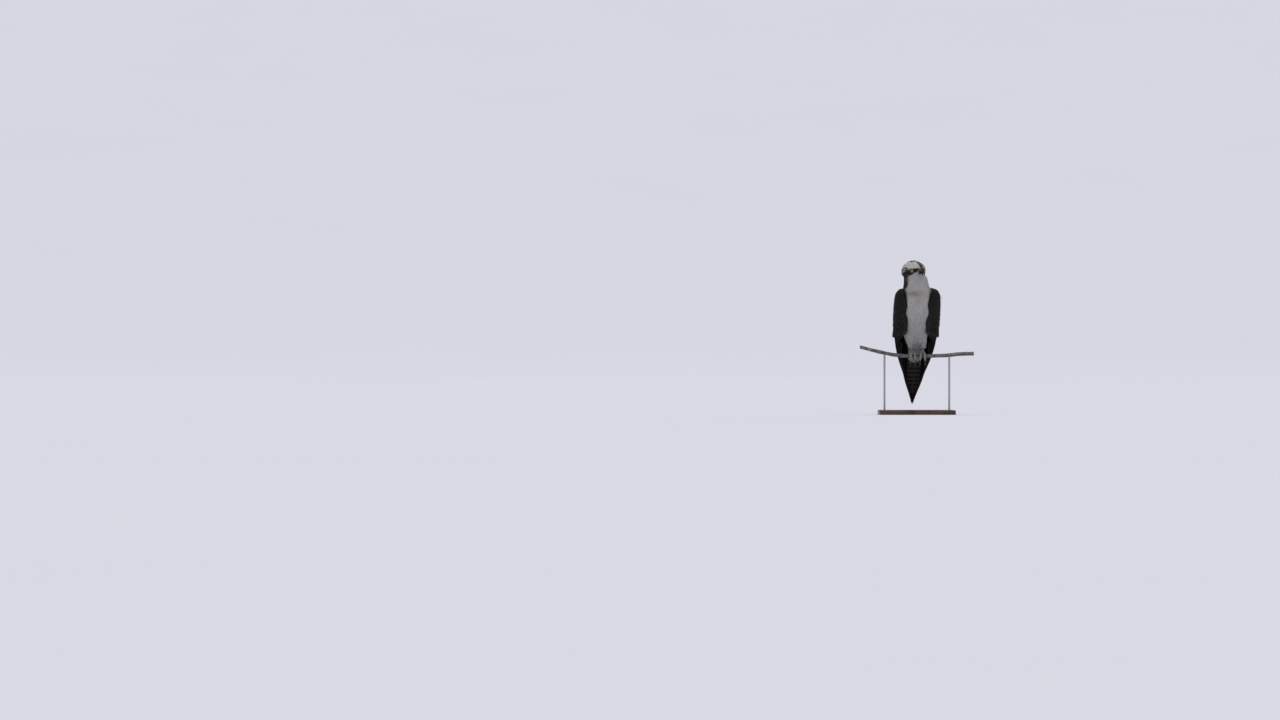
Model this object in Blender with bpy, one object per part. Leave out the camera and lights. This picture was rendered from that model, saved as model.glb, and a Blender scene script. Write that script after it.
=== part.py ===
"""An osprey at life size, perched upright on a short cut of branch that two rods hold over a flat base.

The bird faces -Y and its left side is +X. The underside of the base is the plane z = 0, and the origin
is the middle of it. Sections of the body are level slices: each is drawn round a centre line by its
half width and by how far it reaches to the front and to the back.
"""

import math

import bmesh
import bpy
import numpy as np
from mathutils import Vector

# Stand and perch
BASE_WIDTH = 0.300
BASE_DEPTH = 0.280
BASE_HEIGHT = 0.018
BASE_CORNER = 0.014
BASE_EDGE = 0.004
ROD_RADIUS = 0.004
ROD_SPREAD = 0.128
BRANCH_Y = -0.025
BRANCH_Z = 0.232
BRANCH_HALF_LENGTH = 0.225
BRANCH_RADIUS = 0.0073
BRANCH_RISE = ((-0.225, 0.2676), (-0.146, 0.2478), (-0.079, 0.2350), (-0.035, 0.2320),
               (0.045, 0.2320), (0.110, 0.2340), (0.170, 0.2396), (0.225, 0.2412))
TWIG_SCARS = ((-0.146, 0.0022, 0.010), (-0.062, 0.0010, 0.008), (0.150, 0.0010, 0.014))
AROUND_BRANCH = 10
AROUND_ROD = 16
GAP = 0.0004

# How the bird stands: its centre line leans a little towards its right as it goes down
LEAN = 0.0371
UPRIGHT_Z = 0.410
HEAD_YAW = math.radians(27)
HEAD_X, HEAD_Y, HEAD_Z = -0.0070, -0.063, 0.570
NECK_X, NECK_BEND_Z = -0.0020, 0.470

# Level slices. Every row is a height and a reach at that height.
TRUNK_TOP, TRUNK_END = 0.506, 0.240
TRUNK_WIDTH = ((0.240, 0.016), (0.256, 0.024), (0.276, 0.034), (0.300, 0.045), (0.330, 0.056),
               (0.360, 0.062), (0.400, 0.065), (0.440, 0.064), (0.480, 0.060), (0.506, 0.054))
TRUNK_FRONT = ((0.240, 0.028), (0.256, 0.012), (0.268, 0.000), (0.282, -0.024), (0.300, -0.054),
               (0.330, -0.089), (0.360, -0.110), (0.400, -0.126), (0.440, -0.131), (0.480, -0.122),
               (0.506, -0.106))
TRUNK_BACK = ((0.240, 0.049), (0.268, 0.052), (0.330, 0.044), (0.400, 0.031), (0.440, 0.023),
              (0.480, 0.015), (0.506, 0.006))
TRUNK_CENTRE = ((0.038, 0.120), (0.087, 0.095), (0.127, 0.079), (0.165, 0.065), (0.200, 0.051),
                (0.240, 0.033), (0.283, 0.012), (0.330, -0.004), (0.400, -0.023), (0.460, -0.034),
                (0.506, -0.038))
FRONT_SHAPE, BACK_SHAPE = 1.7, 2.2

NECK_TOP = 0.5475
NECK_WIDTH = ((0.506, 0.0520), (0.520, 0.0495), (0.535, 0.0480), (0.5475, 0.0465))
NECK_FRONT = ((0.506, -0.1055), (0.520, -0.1010), (0.535, -0.0980), (0.5475, -0.0985))
NECK_BACK = ((0.506, 0.0055), (0.520, -0.0020), (0.535, -0.0080), (0.5475, -0.0130))

# Folded wing: the breast's edge in front, the outline at the side, and the back
WING_TOP, WING_TIP = 0.501, 0.0385
WING_SHAPE = 2.4
COVERT_WIDTH = ((0.330, 0.0934), (0.418, 0.0936), (0.453, 0.0920), (0.485, 0.0870), (0.501, 0.0830))
SECONDARY_WIDTH = ((0.200, 0.0600), (0.240, 0.0745), (0.283, 0.0875), (0.310, 0.0928), (0.345, 0.0922),
                   (0.400, 0.0915))
PRIMARY_WIDTH = ((0.0385, 0.0030), (0.058, 0.0070), (0.087, 0.0170), (0.127, 0.0324), (0.165, 0.0438),
                 (0.200, 0.0577), (0.240, 0.0713), (0.283, 0.0810), (0.303, 0.0842), (0.345, 0.0900),
                 (0.418, 0.0936), (0.453, 0.0920), (0.501, 0.0830))
WING_BACK = ((0.0385, 0.1260), (0.087, 0.1165), (0.165, 0.1000), (0.240, 0.0815), (0.315, 0.0620),
             (0.374, 0.0480), (0.418, 0.0390), (0.453, 0.0310), (0.501, 0.0190))
WING_FRONT = ((0.0385, 0.0030), (0.127, 0.0080), (0.240, 0.0060), (0.283, 0.0090), (0.310, 0.0230),
              (0.335, 0.0410), (0.374, 0.0590), (0.418, 0.0650), (0.453, 0.0660), (0.501, 0.0620))
WING_EDGE_X = ((0.0385, 0.0025), (0.087, 0.0150), (0.127, 0.0290), (0.200, 0.0500), (0.240, 0.0580),
               (0.275, 0.0520), (0.300, 0.0480), (0.318, 0.0425), (0.338, 0.0365), (0.363, 0.0360),
               (0.400, 0.0430), (0.436, 0.0415), (0.465, 0.0460), (0.501, 0.0570))
WING_MEET_X = ((0.0385, 0.0010), (0.350, 0.0010), (0.400, 0.0060), (0.440, 0.0180), (0.501, 0.0300))
WING_THICKNESS = ((0.0385, 0.0015), (0.087, 0.0035), (0.200, 0.0050), (0.260, 0.0065), (0.310, 0.0100),
                  (0.360, 0.0160), (0.420, 0.0230), (0.460, 0.0300), (0.501, 0.0300))
COVERT_END = ((0.0, 0.338), (0.35, 0.345), (1.0, 0.372))
SECONDARY_END = ((0.0, 0.316), (0.30, 0.306), (0.55, 0.282), (1.0, 0.206))
WING_RIM = 0.0020
WING_CLEARANCE = 0.0015
LAYER_GAP = 0.0014
FEATHER_STEP = 0.0016
SHOULDER_ROUND = 0.034

# Tail, nested inside the folded wings
TAIL_TOP, TAIL_TIP = 0.268, 0.079
TAIL_WIDTH = ((0.079, 0.0060), (0.083, 0.0105), (0.092, 0.0140), (0.110, 0.0185), (0.135, 0.0240),
              (0.157, 0.0285), (0.200, 0.0300), (0.268, 0.0250))
TAIL_THICKNESS = ((0.079, 0.0022), (0.157, 0.0034), (0.268, 0.0060))
TAIL_CLEARANCE = 0.0012

# Head: how far each level slice reaches in front of and behind the head's centre, and its half width
HEAD_TOP = 0.607
HEAD_FRONT = ((0.548, 0.0330), (0.556, 0.0365), (0.566, 0.0375), (0.576, 0.0360), (0.585, 0.0310),
              (0.593, 0.0230), (0.600, 0.0100), (0.605, -0.0030), (0.607, -0.0100))
HEAD_BACK = ((0.548, -0.0515), (0.556, -0.0525), (0.566, -0.0525), (0.576, -0.0510), (0.585, -0.0480),
             (0.593, -0.0425), (0.600, -0.0345), (0.605, -0.0250), (0.607, -0.0190))
HEAD_WIDTH = ((0.548, 0.0465), (0.556, 0.0465), (0.566, 0.0460), (0.576, 0.0445), (0.585, 0.0408),
              (0.593, 0.0345), (0.600, 0.0255), (0.605, 0.0150), (0.607, 0.0060))
FACE_NARROWING = 0.22
EYE_RADIUS = 0.0080
EYE_FORWARD, EYE_SIDE, EYE_UP = 0.0180, 0.0248, -0.0025

# Bill: centre line as (forward, up) from the head's centre, with half width and half depth
UPPER_BILL = ((0.0270, -0.0015, 0.0086, 0.0068), (0.0360, -0.0005, 0.0084, 0.0066),
              (0.0440, -0.0012, 0.0074, 0.0062), (0.0510, -0.0042, 0.0060, 0.0056),
              (0.0565, -0.0098, 0.0044, 0.0046), (0.0592, -0.0165, 0.0027, 0.0032),
              (0.0592, -0.0225, 0.0014, 0.0017), (0.0580, -0.0262, 0.0005, 0.0006))
LOWER_BILL = ((0.0270, -0.0122, 0.0074, 0.0028), (0.0360, -0.0118, 0.0068, 0.0030),
              (0.0430, -0.0122, 0.0054, 0.0028), (0.0490, -0.0138, 0.0036, 0.0022),
              (0.0520, -0.0150, 0.0016, 0.0012))

# Legs and feet
FOOT_X = {"right": -0.0155, "left": 0.0225}
ANKLE_X = {"right": -0.0225, "left": 0.0262}
KNEE_X = {"right": -0.0310, "left": 0.0270}
ANKLE_Y, ANKLE_Z = -0.013, 0.2665
PAD_HALF_WIDTH, PAD_HALF_DEPTH, PAD_HEIGHT = 0.0098, 0.0086, 0.0090
TARSUS_RADIUS = 0.0054
THIGH = ((0.2670, 0.0090), (0.2760, 0.0122), (0.2900, 0.0146), (0.3050, 0.0138), (0.3200, 0.0085))
THIGH_Y = ((0.2670, -0.0140), (0.2900, -0.0270), (0.3050, -0.0390), (0.3200, -0.0500))
TOE_RADIUS = 0.0047
TOE_PATH = ((0.0091, 0.0138), (0.0128, 0.0118), (0.0150, 0.0060), (0.0146, -0.0020),
            (0.0136, -0.0100), (0.0112, -0.0185))
TOE_GIRTH = (1.00, 1.04, 0.98, 1.02, 0.90, 0.68)
CLAW_ARC_RADIUS = 0.0145
CLAW_SWEEP = math.radians(112)
CLAW_RADIUS, CLAW_TIP_RADIUS = 0.0029, 0.0005
CLAW_STEPS = 6
TOE_ROOT_SPREAD, TOE_TIP_SPREAD = 0.0051, 0.0103

SIDES = {"right": -1, "left": 1}
ASIDE = Vector((1, 0, 0))
AROUND_BODY = 30
ACROSS_WING = 12
AROUND_HEAD = 28
AROUND_TOE = 8


def clear_scene():
    for item in list(bpy.data.objects):
        bpy.data.objects.remove(item)


def material(name, colour, roughness, metallic=0.0):
    found = bpy.data.materials.get(name)
    if found:
        return found
    made = bpy.data.materials.new(name)
    made.use_nodes = True
    shader = made.node_tree.nodes["Principled BSDF"]
    shader.inputs["Base Color"].default_value = (*colour, 1)
    shader.inputs["Roughness"].default_value = roughness
    shader.inputs["Metallic"].default_value = metallic
    made.diffuse_color = (*colour, 1)
    return made


FINISHES = {
    "plumage_dark": ((0.045, 0.032, 0.028), 0.70),
    "plumage_white": ((0.62, 0.60, 0.57), 0.80),
    "bill_black": ((0.020, 0.020, 0.024), 0.35),
    "eye_yellow": ((0.75, 0.50, 0.06), 0.08),
    "leg_grey": ((0.42, 0.44, 0.42), 0.60),
    "bark": ((0.23, 0.21, 0.20), 0.85),
    "stand_wood": ((0.16, 0.10, 0.06), 0.45),
    "rod_steel": ((0.55, 0.55, 0.56), 0.35),
}


def finish(name):
    colour, roughness = FINISHES[name]
    return material(name, colour, roughness, 1.0 if name == "rod_steel" else 0.0)


def curve(table, at):
    """Reads a smooth curve through the table's rows: cubic pieces whose slope at a row is the harmonic
    mean of the slopes on its two sides, or zero where those change sign, so it never overshoots."""
    rows = np.array(table, float)
    x, y = rows[:, 0], rows[:, 1]
    step = np.diff(x)
    slope = np.diff(y) / step
    knot = np.zeros(len(x))
    same = slope[:-1] * slope[1:] > 0
    knot[1:-1][same] = 2 / (1 / slope[:-1][same] + 1 / slope[1:][same])
    knot[0], knot[-1] = slope[0], slope[-1]
    at = np.clip(np.asarray(at, float), x[0], x[-1])
    i = np.clip(np.searchsorted(x, at) - 1, 0, len(step) - 1)
    t = (at - x[i]) / step[i]
    rise = y[i + 1] - y[i]
    cubic = knot[i] * step[i] + knot[i + 1] * step[i] - 2 * rise
    square = rise - knot[i] * step[i] - cubic
    return y[i] + t * (knot[i] * step[i] + t * (square + t * cubic))


def build(name, vertices, faces, finish_name):
    """Makes a closed smooth-shaded object whose faces point outwards."""
    mesh = bpy.data.meshes.new(name)
    mesh.from_pydata([tuple(v) for v in vertices], [], faces)
    shape = bmesh.new()
    shape.from_mesh(mesh)
    bmesh.ops.recalc_face_normals(shape, faces=shape.faces)
    shape.to_mesh(mesh)
    shape.free()
    mesh.shade_smooth()
    mesh.set_sharp_from_angle(angle=math.radians(50))
    mesh.materials.append(finish(finish_name))
    made = bpy.data.objects.new(name, mesh)
    bpy.context.scene.collection.objects.link(made)
    return made


def loft(name, rings, finish_name):
    """Bridges rings of equally many points and closes both ends."""
    count = len(rings[0])
    vertices = np.concatenate(rings)
    faces = []
    for level in range(len(rings) - 1):
        for k in range(count):
            after = (k + 1) % count
            low, high = level * count, (level + 1) * count
            faces.append((low + k, low + after, high + after, high + k))
    faces.append(tuple(range(count - 1, -1, -1)))
    faces.append(tuple(range((len(rings) - 1) * count, len(rings) * count)))
    return build(name, vertices, faces, finish_name)


def shell(name, outer, inner, finish_name):
    """Closes two equal grids of points, an outer and an inner face, into one thick sheet."""
    rows, columns = outer.shape[:2]
    index = np.arange(2 * rows * columns).reshape(2, rows, columns)
    faces = []
    for side in index:
        for r in range(rows - 1):
            for c in range(columns - 1):
                faces.append((side[r, c], side[r, c + 1], side[r + 1, c + 1], side[r + 1, c]))
    rim = [(r, 0) for r in range(rows)]
    rim += [(rows - 1, c) for c in range(1, columns)]
    rim += [(r, columns - 1) for r in range(rows - 2, -1, -1)]
    rim += [(0, c) for c in range(columns - 2, 0, -1)]
    for here, after in zip(rim, rim[1:] + rim[:1]):
        faces.append((index[0][here], index[0][after], index[1][after], index[1][here]))
    faces = [tuple(int(v) for v in face) for face in faces]
    return build(name, np.concatenate([outer.reshape(-1, 3), inner.reshape(-1, 3)]), faces, finish_name)


def tube_rings(path, widths, depths, around, aside, flat_ends=None):
    """Puts an ellipse square to the path at each point, its width along aside as nearly as can be.

    flat_ends gives the directions that the first and last rings face instead of the path's own.
    """
    path = [Vector(p) for p in path]
    rings = []
    for k, point in enumerate(path):
        ahead = path[min(k + 1, len(path) - 1)] - path[max(k - 1, 0)]
        if flat_ends and k in (0, len(path) - 1):
            ahead = Vector(flat_ends[0] if k == 0 else flat_ends[1])
        ahead.normalize()
        across = (aside - ahead * aside.dot(ahead)).normalized()
        up = across.cross(ahead)
        angles = [2 * math.pi * a / around for a in range(around)]
        rings.append(np.array([point + across * (widths[k] * math.cos(a)) + up * (depths[k] * math.sin(a))
                               for a in angles]))
    return rings


def cut_away(target, cutter, grow=GAP):
    """Takes the cutter, grown by the gap, out of the target."""
    copy = cutter.copy()
    copy.data = cutter.data.copy()
    bpy.context.scene.collection.objects.link(copy)
    shape = bmesh.new()
    shape.from_mesh(copy.data)
    moves = [(v, v.normal.copy()) for v in shape.verts]
    for vertex, normal in moves:
        vertex.co += normal * grow
    shape.to_mesh(copy.data)
    shape.free()
    cut = target.modifiers.new("cut", "BOOLEAN")
    cut.operation = "DIFFERENCE"
    cut.solver = "EXACT"
    cut.object = copy
    copy.name = "cutter_" + target.name + "_" + cutter.name
    copy.hide_render = True
    copy.display_type = "WIRE"


def polar_reach(angle, width, front, back, front_shape, back_shape):
    """Distance from the centre to a superellipse at an angle: 0 is to the side, -90 degrees in front."""
    ahead = np.sin(angle) < 0
    depth = np.where(ahead, front, back)
    power = np.where(ahead, front_shape, back_shape)
    side = np.abs(np.cos(angle)) / width
    along = np.abs(np.sin(angle)) / depth
    return (side**power + along**power) ** (-1 / power)


def lean(z):
    """How far the body's centre line is to the side at a height."""
    return LEAN * (z - UPRIGHT_Z)


def neck_shift(z):
    """How much further the upper breast bends towards the neck."""
    return (NECK_X - lean(TRUNK_TOP)) * np.clip((z - NECK_BEND_Z) / (TRUNK_TOP - NECK_BEND_Z), 0, 1) ** 2


def trunk_reach(z, angle):
    centre = curve(TRUNK_CENTRE, z)
    return polar_reach(angle, curve(TRUNK_WIDTH, z), centre - curve(TRUNK_FRONT, z),
                       curve(TRUNK_BACK, z) - centre, FRONT_SHAPE, BACK_SHAPE)


def make_trunk():
    heights = np.array([0.240, 0.250, 0.263, 0.279, 0.297, 0.318, 0.342, 0.368, 0.396, 0.424, 0.450,
                        0.474, 0.492, TRUNK_TOP])
    angles = np.linspace(0, 2 * math.pi, AROUND_BODY, endpoint=False)
    rings = []
    for z in heights:
        reach = trunk_reach(np.full(AROUND_BODY, z), angles)
        rings.append(np.stack([lean(z) + neck_shift(z) + reach * np.cos(angles),
                               curve(TRUNK_CENTRE, z) + reach * np.sin(angles),
                               np.full(AROUND_BODY, z)], 1))
    return loft("trunk", rings, "plumage_white")


def make_neck():
    rings = []
    angles = np.linspace(0, 2 * math.pi, AROUND_BODY, endpoint=False)
    for z in np.linspace(TRUNK_TOP + GAP, NECK_TOP, 5):
        part = (z - TRUNK_TOP) / (NECK_TOP - TRUNK_TOP)
        front, back = curve(NECK_FRONT, z), curve(NECK_BACK, z)
        middle = (front + back) / 2
        x = NECK_X + (HEAD_X - NECK_X) * part
        reach = polar_reach(angles, curve(NECK_WIDTH, z), middle - front, back - middle, 2.1, 2.1)
        rings.append(np.stack([x + reach * np.cos(angles), middle + reach * np.sin(angles),
                               np.full(AROUND_BODY, z)], 1))
    return loft("neck", rings, "plumage_white")


def head_point(forward, side, up):
    """A point of the head's own axes, turned about the upright and put on the neck."""
    x = HEAD_X + forward * math.sin(HEAD_YAW) + side * math.cos(HEAD_YAW)
    y = HEAD_Y - forward * math.cos(HEAD_YAW) + side * math.sin(HEAD_YAW)
    return (x, y, HEAD_Z + up)


def make_head():
    rings = []
    angles = np.linspace(0, 2 * math.pi, AROUND_HEAD, endpoint=False)
    for z in (0.548, 0.554, 0.561, 0.569, 0.577, 0.585, 0.592, 0.598, 0.6025, 0.6055, HEAD_TOP):
        front, back, width = curve(HEAD_FRONT, z), curve(HEAD_BACK, z), curve(HEAD_WIDTH, z)
        ahead = (front + back) / 2 + (front - back) / 2 * np.cos(angles)
        aside = width * np.sin(angles) * (1 - FACE_NARROWING * np.cos(angles))
        rings.append(np.array([head_point(f, s, z - HEAD_Z) for f, s in zip(ahead, aside)]))
    return loft("head", rings, "plumage_white")


def make_bill(name, rows):
    path = [head_point(forward, 0, up) for forward, up, _, _ in rows]
    aside = Vector(head_point(0, 1, 0)) - Vector(head_point(0, 0, 0))
    rings = tube_rings(path, [r[2] for r in rows], [r[3] for r in rows], 12, aside)
    return loft(name, rings, "bill_black")


def make_eye(side):
    shape = bmesh.new()
    bmesh.ops.create_uvsphere(shape, u_segments=12, v_segments=8, radius=EYE_RADIUS)
    place = Vector(head_point(EYE_FORWARD, SIDES[side] * EYE_SIDE, EYE_UP))
    bmesh.ops.translate(shape, vec=place, verts=shape.verts)
    vertices = [tuple(v.co) for v in shape.verts]
    faces = [tuple(v.index for v in f.verts) for f in shape.faces]
    shape.free()
    return build("eye_" + side, vertices, faces, "eye_yellow")


def wing_grid(side, top, end, width_table, inset, rows, shoulder):
    """Outer and inner faces of one layer of the folded wing.

    A row follows the wing down from top to end, both given across it; a column goes round from the
    breast's edge to the middle of the back. The inner face lies on the body or a thickness inside.
    """
    even = np.linspace(0, 1, ACROSS_WING)
    across = 0.6 * (1 - np.cos(math.pi * even)) / 2 + 0.4 * even
    down = np.linspace(0, 1, rows)
    if shoulder:
        down = down**1.5
    across, down = np.meshgrid(across, down)
    z = top(across) + (end(across) - top(across)) * down
    centre = curve(TRUNK_CENTRE, z)
    width = curve(width_table, z)
    front = curve(WING_FRONT, z)
    back = curve(WING_BACK, z) - centre - np.minimum(inset, 0.2 * width)
    meet_x = curve(WING_MEET_X, z)
    span = curve(PRIMARY_WIDTH, z)
    edge_x = np.minimum(curve(WING_EDGE_X, z), span * 0.93)
    edge_y = front * (1 - (edge_x / span) ** WING_SHAPE) ** (1 / WING_SHAPE)
    flank = np.maximum(curve(TRUNK_WIDTH, z), edge_x * 1.001)
    breast = centre - curve(TRUNK_FRONT, z)
    breast = breast * (1 - (edge_x / flank) ** FRONT_SHAPE) ** (1 / FRONT_SHAPE) + WING_CLEARANCE
    edge_y = np.where(z > TRUNK_END, np.maximum(edge_y, breast), edge_y)
    meet_y = back * (1 - (meet_x / span) ** WING_SHAPE) ** (1 / WING_SHAPE)
    first, last = np.arctan2(-edge_y, edge_x), np.arctan2(meet_y, meet_x)
    angle = first + (last - first) * across
    reach = polar_reach(angle, width, front, back, WING_SHAPE, WING_SHAPE)
    body = np.where(z > TRUNK_END, trunk_reach(np.maximum(z, TRUNK_END), angle), 0)
    body = body + WING_CLEARANCE + np.abs(neck_shift(z))
    thickness = np.minimum(curve(WING_THICKNESS, z), 0.6 * reach)
    rim = np.clip(np.minimum(across / 0.16, (1 - across) / 0.22), 0, 1)
    thickness = WING_RIM + np.maximum(thickness - WING_RIM, 0) * np.sin(rim * math.pi / 2)
    thickness = np.minimum(thickness, 0.6 * reach)
    if shoulder:
        fall = np.clip((top(across) - z) / SHOULDER_ROUND, 0, 1)
        low = body + WING_RIM
        reach = low + (reach - low) * np.sqrt(1 - (1 - fall) ** 2)
    within = np.maximum(reach - thickness, body)
    reach = np.maximum(reach, within + WING_RIM)
    sign = SIDES[side]
    faces = []
    for r in (reach, within):
        faces.append(np.stack([lean(z) + sign * r * np.cos(angle), centre + r * np.sin(angle), z], -1))
    return faces


def level(height):
    return lambda across: np.full_like(across, height)


def sloped(table, drop=0.0):
    return lambda across: curve(table, across) - drop


def make_wing(side):
    layers = (
        ("coverts", level(WING_TOP), sloped(COVERT_END), COVERT_WIDTH, 0.0, 10, True),
        ("secondaries", sloped(COVERT_END, LAYER_GAP), sloped(SECONDARY_END), SECONDARY_WIDTH,
         FEATHER_STEP, 7, False),
        ("primaries", sloped(SECONDARY_END, LAYER_GAP), level(WING_TIP), PRIMARY_WIDTH,
         2 * FEATHER_STEP, 13, False),
    )
    for part, top, end, widths, inset, rows, shoulder in layers:
        outer, inner = wing_grid(side, top, end, widths, inset, rows, shoulder)
        shell("wing_" + side + "_" + part, outer, inner, "plumage_dark")


def make_tail():
    """Lies inside the curve of the primaries and is arched like them."""
    rows, columns = 10, 9
    across, down = np.meshgrid(np.linspace(-1, 1, columns), np.linspace(0, 1, rows) ** 0.8)
    z = TAIL_TOP + (TAIL_TIP - TAIL_TOP) * down
    centre = curve(TRUNK_CENTRE, z)
    clear = curve(WING_THICKNESS, z) + TAIL_CLEARANCE
    width = curve(PRIMARY_WIDTH, z) - clear
    back = curve(WING_BACK, z) - centre - np.minimum(2 * FEATHER_STEP, 0.2 * width) - clear
    x = np.minimum(curve(TAIL_WIDTH, z), width * 0.97) * across
    y = back * (1 - np.abs(x / width) ** WING_SHAPE) ** (1 / WING_SHAPE)
    thickness = curve(TAIL_THICKNESS, z)
    outer = np.stack([lean(z) + x, centre + y, z], -1)
    inner = np.stack([lean(z) + x * 0.985, centre + y - thickness, z], -1)
    return shell("tail", outer, inner, "plumage_dark")


def make_thigh(side):
    heights = np.array([0.2670, 0.2740, 0.2840, 0.2950, 0.3080, 0.3200])
    angles = np.linspace(0, 2 * math.pi, 16, endpoint=False)
    rings = []
    for z in heights:
        part = (z - heights[0]) / (heights[-1] - heights[0])
        x = ANKLE_X[side] + (KNEE_X[side] - ANKLE_X[side]) * math.sqrt(part)
        radius = curve(THIGH, z)
        rings.append(np.stack([x + radius * np.cos(angles),
                               curve(THIGH_Y, z) + 1.15 * radius * np.sin(angles),
                               np.full(len(angles), z)], 1))
    return loft("thigh_" + side, rings, "plumage_white")


def make_tarsus(side):
    """The bare shank, widening below into the pad that sits on the branch."""
    bottom = BRANCH_Z + BRANCH_RADIUS + GAP
    rows = ((bottom, 0.80, 1.0), (bottom + 0.0015, 1.0, 1.0), (bottom + 0.6 * PAD_HEIGHT, 1.0, 0.95),
            (bottom + 0.95 * PAD_HEIGHT, 0.80, 0.72), (bottom + 1.35 * PAD_HEIGHT, 0.60, 0.42))
    angles = np.linspace(0, 2 * math.pi, 16, endpoint=False)
    rings = []
    for z, size, square in rows:
        power = 2 + 3 * square
        reach = polar_reach(angles, PAD_HALF_WIDTH * size, PAD_HALF_DEPTH * size, PAD_HALF_DEPTH * size,
                            power, power)
        rings.append(np.stack([FOOT_X[side] + reach * np.cos(angles), BRANCH_Y + reach * np.sin(angles),
                               np.full(len(angles), z)], 1))
    start = rows[-1][0]
    for part in (0.5, 1.0):
        z = start + (ANKLE_Z - start) * part
        x = FOOT_X[side] + (ANKLE_X[side] - FOOT_X[side]) * part
        y = BRANCH_Y + (ANKLE_Y - BRANCH_Y) * part
        rings.append(np.stack([x + TARSUS_RADIUS * np.cos(angles),
                               y + 1.1 * TARSUS_RADIUS * np.sin(angles), np.full(len(angles), z)], 1))
    return loft("tarsus_" + side, rings, "leg_grey")


def toe_spread(side, which, part):
    spread = TOE_ROOT_SPREAD + (TOE_TIP_SPREAD - TOE_ROOT_SPREAD) * part
    return FOOT_X[side] + which * spread


def make_toe(name, side, which, facing):
    """A toe from the pad over the branch. which is its side of the foot, facing -1 for the front."""
    path, radii = [], []
    last = len(TOE_PATH) - 1
    for k, (out, up) in enumerate(TOE_PATH):
        path.append((toe_spread(side, which, k / last), BRANCH_Y + facing * out, BRANCH_Z + up))
        radii.append(TOE_RADIUS * TOE_GIRTH[k])
    rings = tube_rings(path, radii, radii, AROUND_TOE, ASIDE, ((0, facing, 0), (0, -facing * 0.3, -1)))
    loft("toe_" + name + "_" + side, rings, "leg_grey")

    toe_end = Vector((0, -facing * 0.3, -1)).normalized()
    point = Vector(path[-1]) + toe_end * 2 * GAP
    heading = math.atan2(-1, -0.3)
    stride = CLAW_ARC_RADIUS * CLAW_SWEEP / CLAW_STEPS
    claw, sizes = [], []
    for k in range(CLAW_STEPS + 1):
        claw.append(tuple(point))
        sizes.append(CLAW_RADIUS * (1 - k / CLAW_STEPS) ** 0.7 + CLAW_TIP_RADIUS)
        turn = heading + CLAW_SWEEP * (k + 0.5) / CLAW_STEPS
        point += Vector((0, facing * math.cos(turn), math.sin(turn))) * stride
    faces_of_ends = (tuple(toe_end), tuple(Vector(claw[-1]) - Vector(claw[-2])))
    loft("claw_" + name + "_" + side, tube_rings(claw, sizes, sizes, 6, ASIDE, faces_of_ends), "bill_black")


def make_foot(side):
    inner = -SIDES[side]
    make_toe("inner", side, inner, -1)
    make_toe("middle", side, -inner, -1)
    make_toe("hind", side, inner, 1)
    make_toe("outer", side, -inner, 1)


def branch_centre(x):
    """The bough's height: low in the middle, rising to the bird's right and a little to its left."""
    return curve(BRANCH_RISE, x)


def branch_girth(x):
    """Radius along the bough: even under the feet, thinner to the bird's right, swollen at old twigs."""
    radius = BRANCH_RADIUS + 0.0035 * np.minimum(x + 0.06, 0) + 0.002 * np.maximum(x - 0.06, 0)
    return radius + sum(size * math.exp(-(((x - place) / reach) ** 2)) for place, size, reach in TWIG_SCARS)


def make_branch():
    """Rings square to the bough; the two end faces are cut upright."""
    rings = []
    first_scar = TWIG_SCARS[0][0]
    xs = [*np.linspace(-BRANCH_HALF_LENGTH, BRANCH_HALF_LENGTH, 21), first_scar - 0.006, first_scar + 0.006]
    angles = np.linspace(0, 2 * math.pi, AROUND_BRANCH, endpoint=False)
    for x in sorted(xs):
        slope = (branch_centre(x + 0.002) - branch_centre(x - 0.002)) / 0.004
        if abs(x) > BRANCH_HALF_LENGTH - 0.001:
            slope = 0.0
        radius = branch_girth(x)
        up = radius * np.sin(angles) / math.hypot(1, slope)
        rings.append(np.stack([x - slope * up, BRANCH_Y + radius * np.cos(angles), branch_centre(x) + up], 1))
    return loft("perch_branch", rings, "bark")


def make_base():
    shape = bmesh.new()
    bmesh.ops.create_cube(shape, size=1)
    bmesh.ops.scale(shape, vec=(BASE_WIDTH, BASE_DEPTH, BASE_HEIGHT), verts=shape.verts)
    bmesh.ops.translate(shape, vec=(0, 0, BASE_HEIGHT / 2), verts=shape.verts)
    upright = [e for e in shape.edges if abs(e.verts[0].co.z - e.verts[1].co.z) > BASE_HEIGHT / 2]
    bmesh.ops.bevel(shape, geom=upright, offset=BASE_CORNER, segments=4, profile=0.5, affect="EDGES")
    rim = [e for e in shape.edges if all(v.co.z > BASE_HEIGHT - 1e-6 for v in e.verts)]
    bmesh.ops.bevel(shape, geom=rim, offset=BASE_EDGE, segments=3, profile=0.5, affect="EDGES")
    vertices = [tuple(v.co) for v in shape.verts]
    shape.verts.index_update()
    faces = [tuple(v.index for v in f.verts) for f in shape.faces]
    shape.free()
    return build("stand_base", vertices, faces, "stand_wood")


def make_rod(side, branch):
    x = SIDES[side] * ROD_SPREAD
    angles = np.linspace(0, 2 * math.pi, AROUND_ROD, endpoint=False)
    rings = [np.stack([x + ROD_RADIUS * np.cos(angles), BRANCH_Y + ROD_RADIUS * np.sin(angles),
                       np.full(AROUND_ROD, z)], 1) for z in (BASE_HEIGHT + GAP, branch_centre(x))]
    rod = loft("stand_rod_" + side, rings, "rod_steel")
    cut_away(rod, branch)


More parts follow.
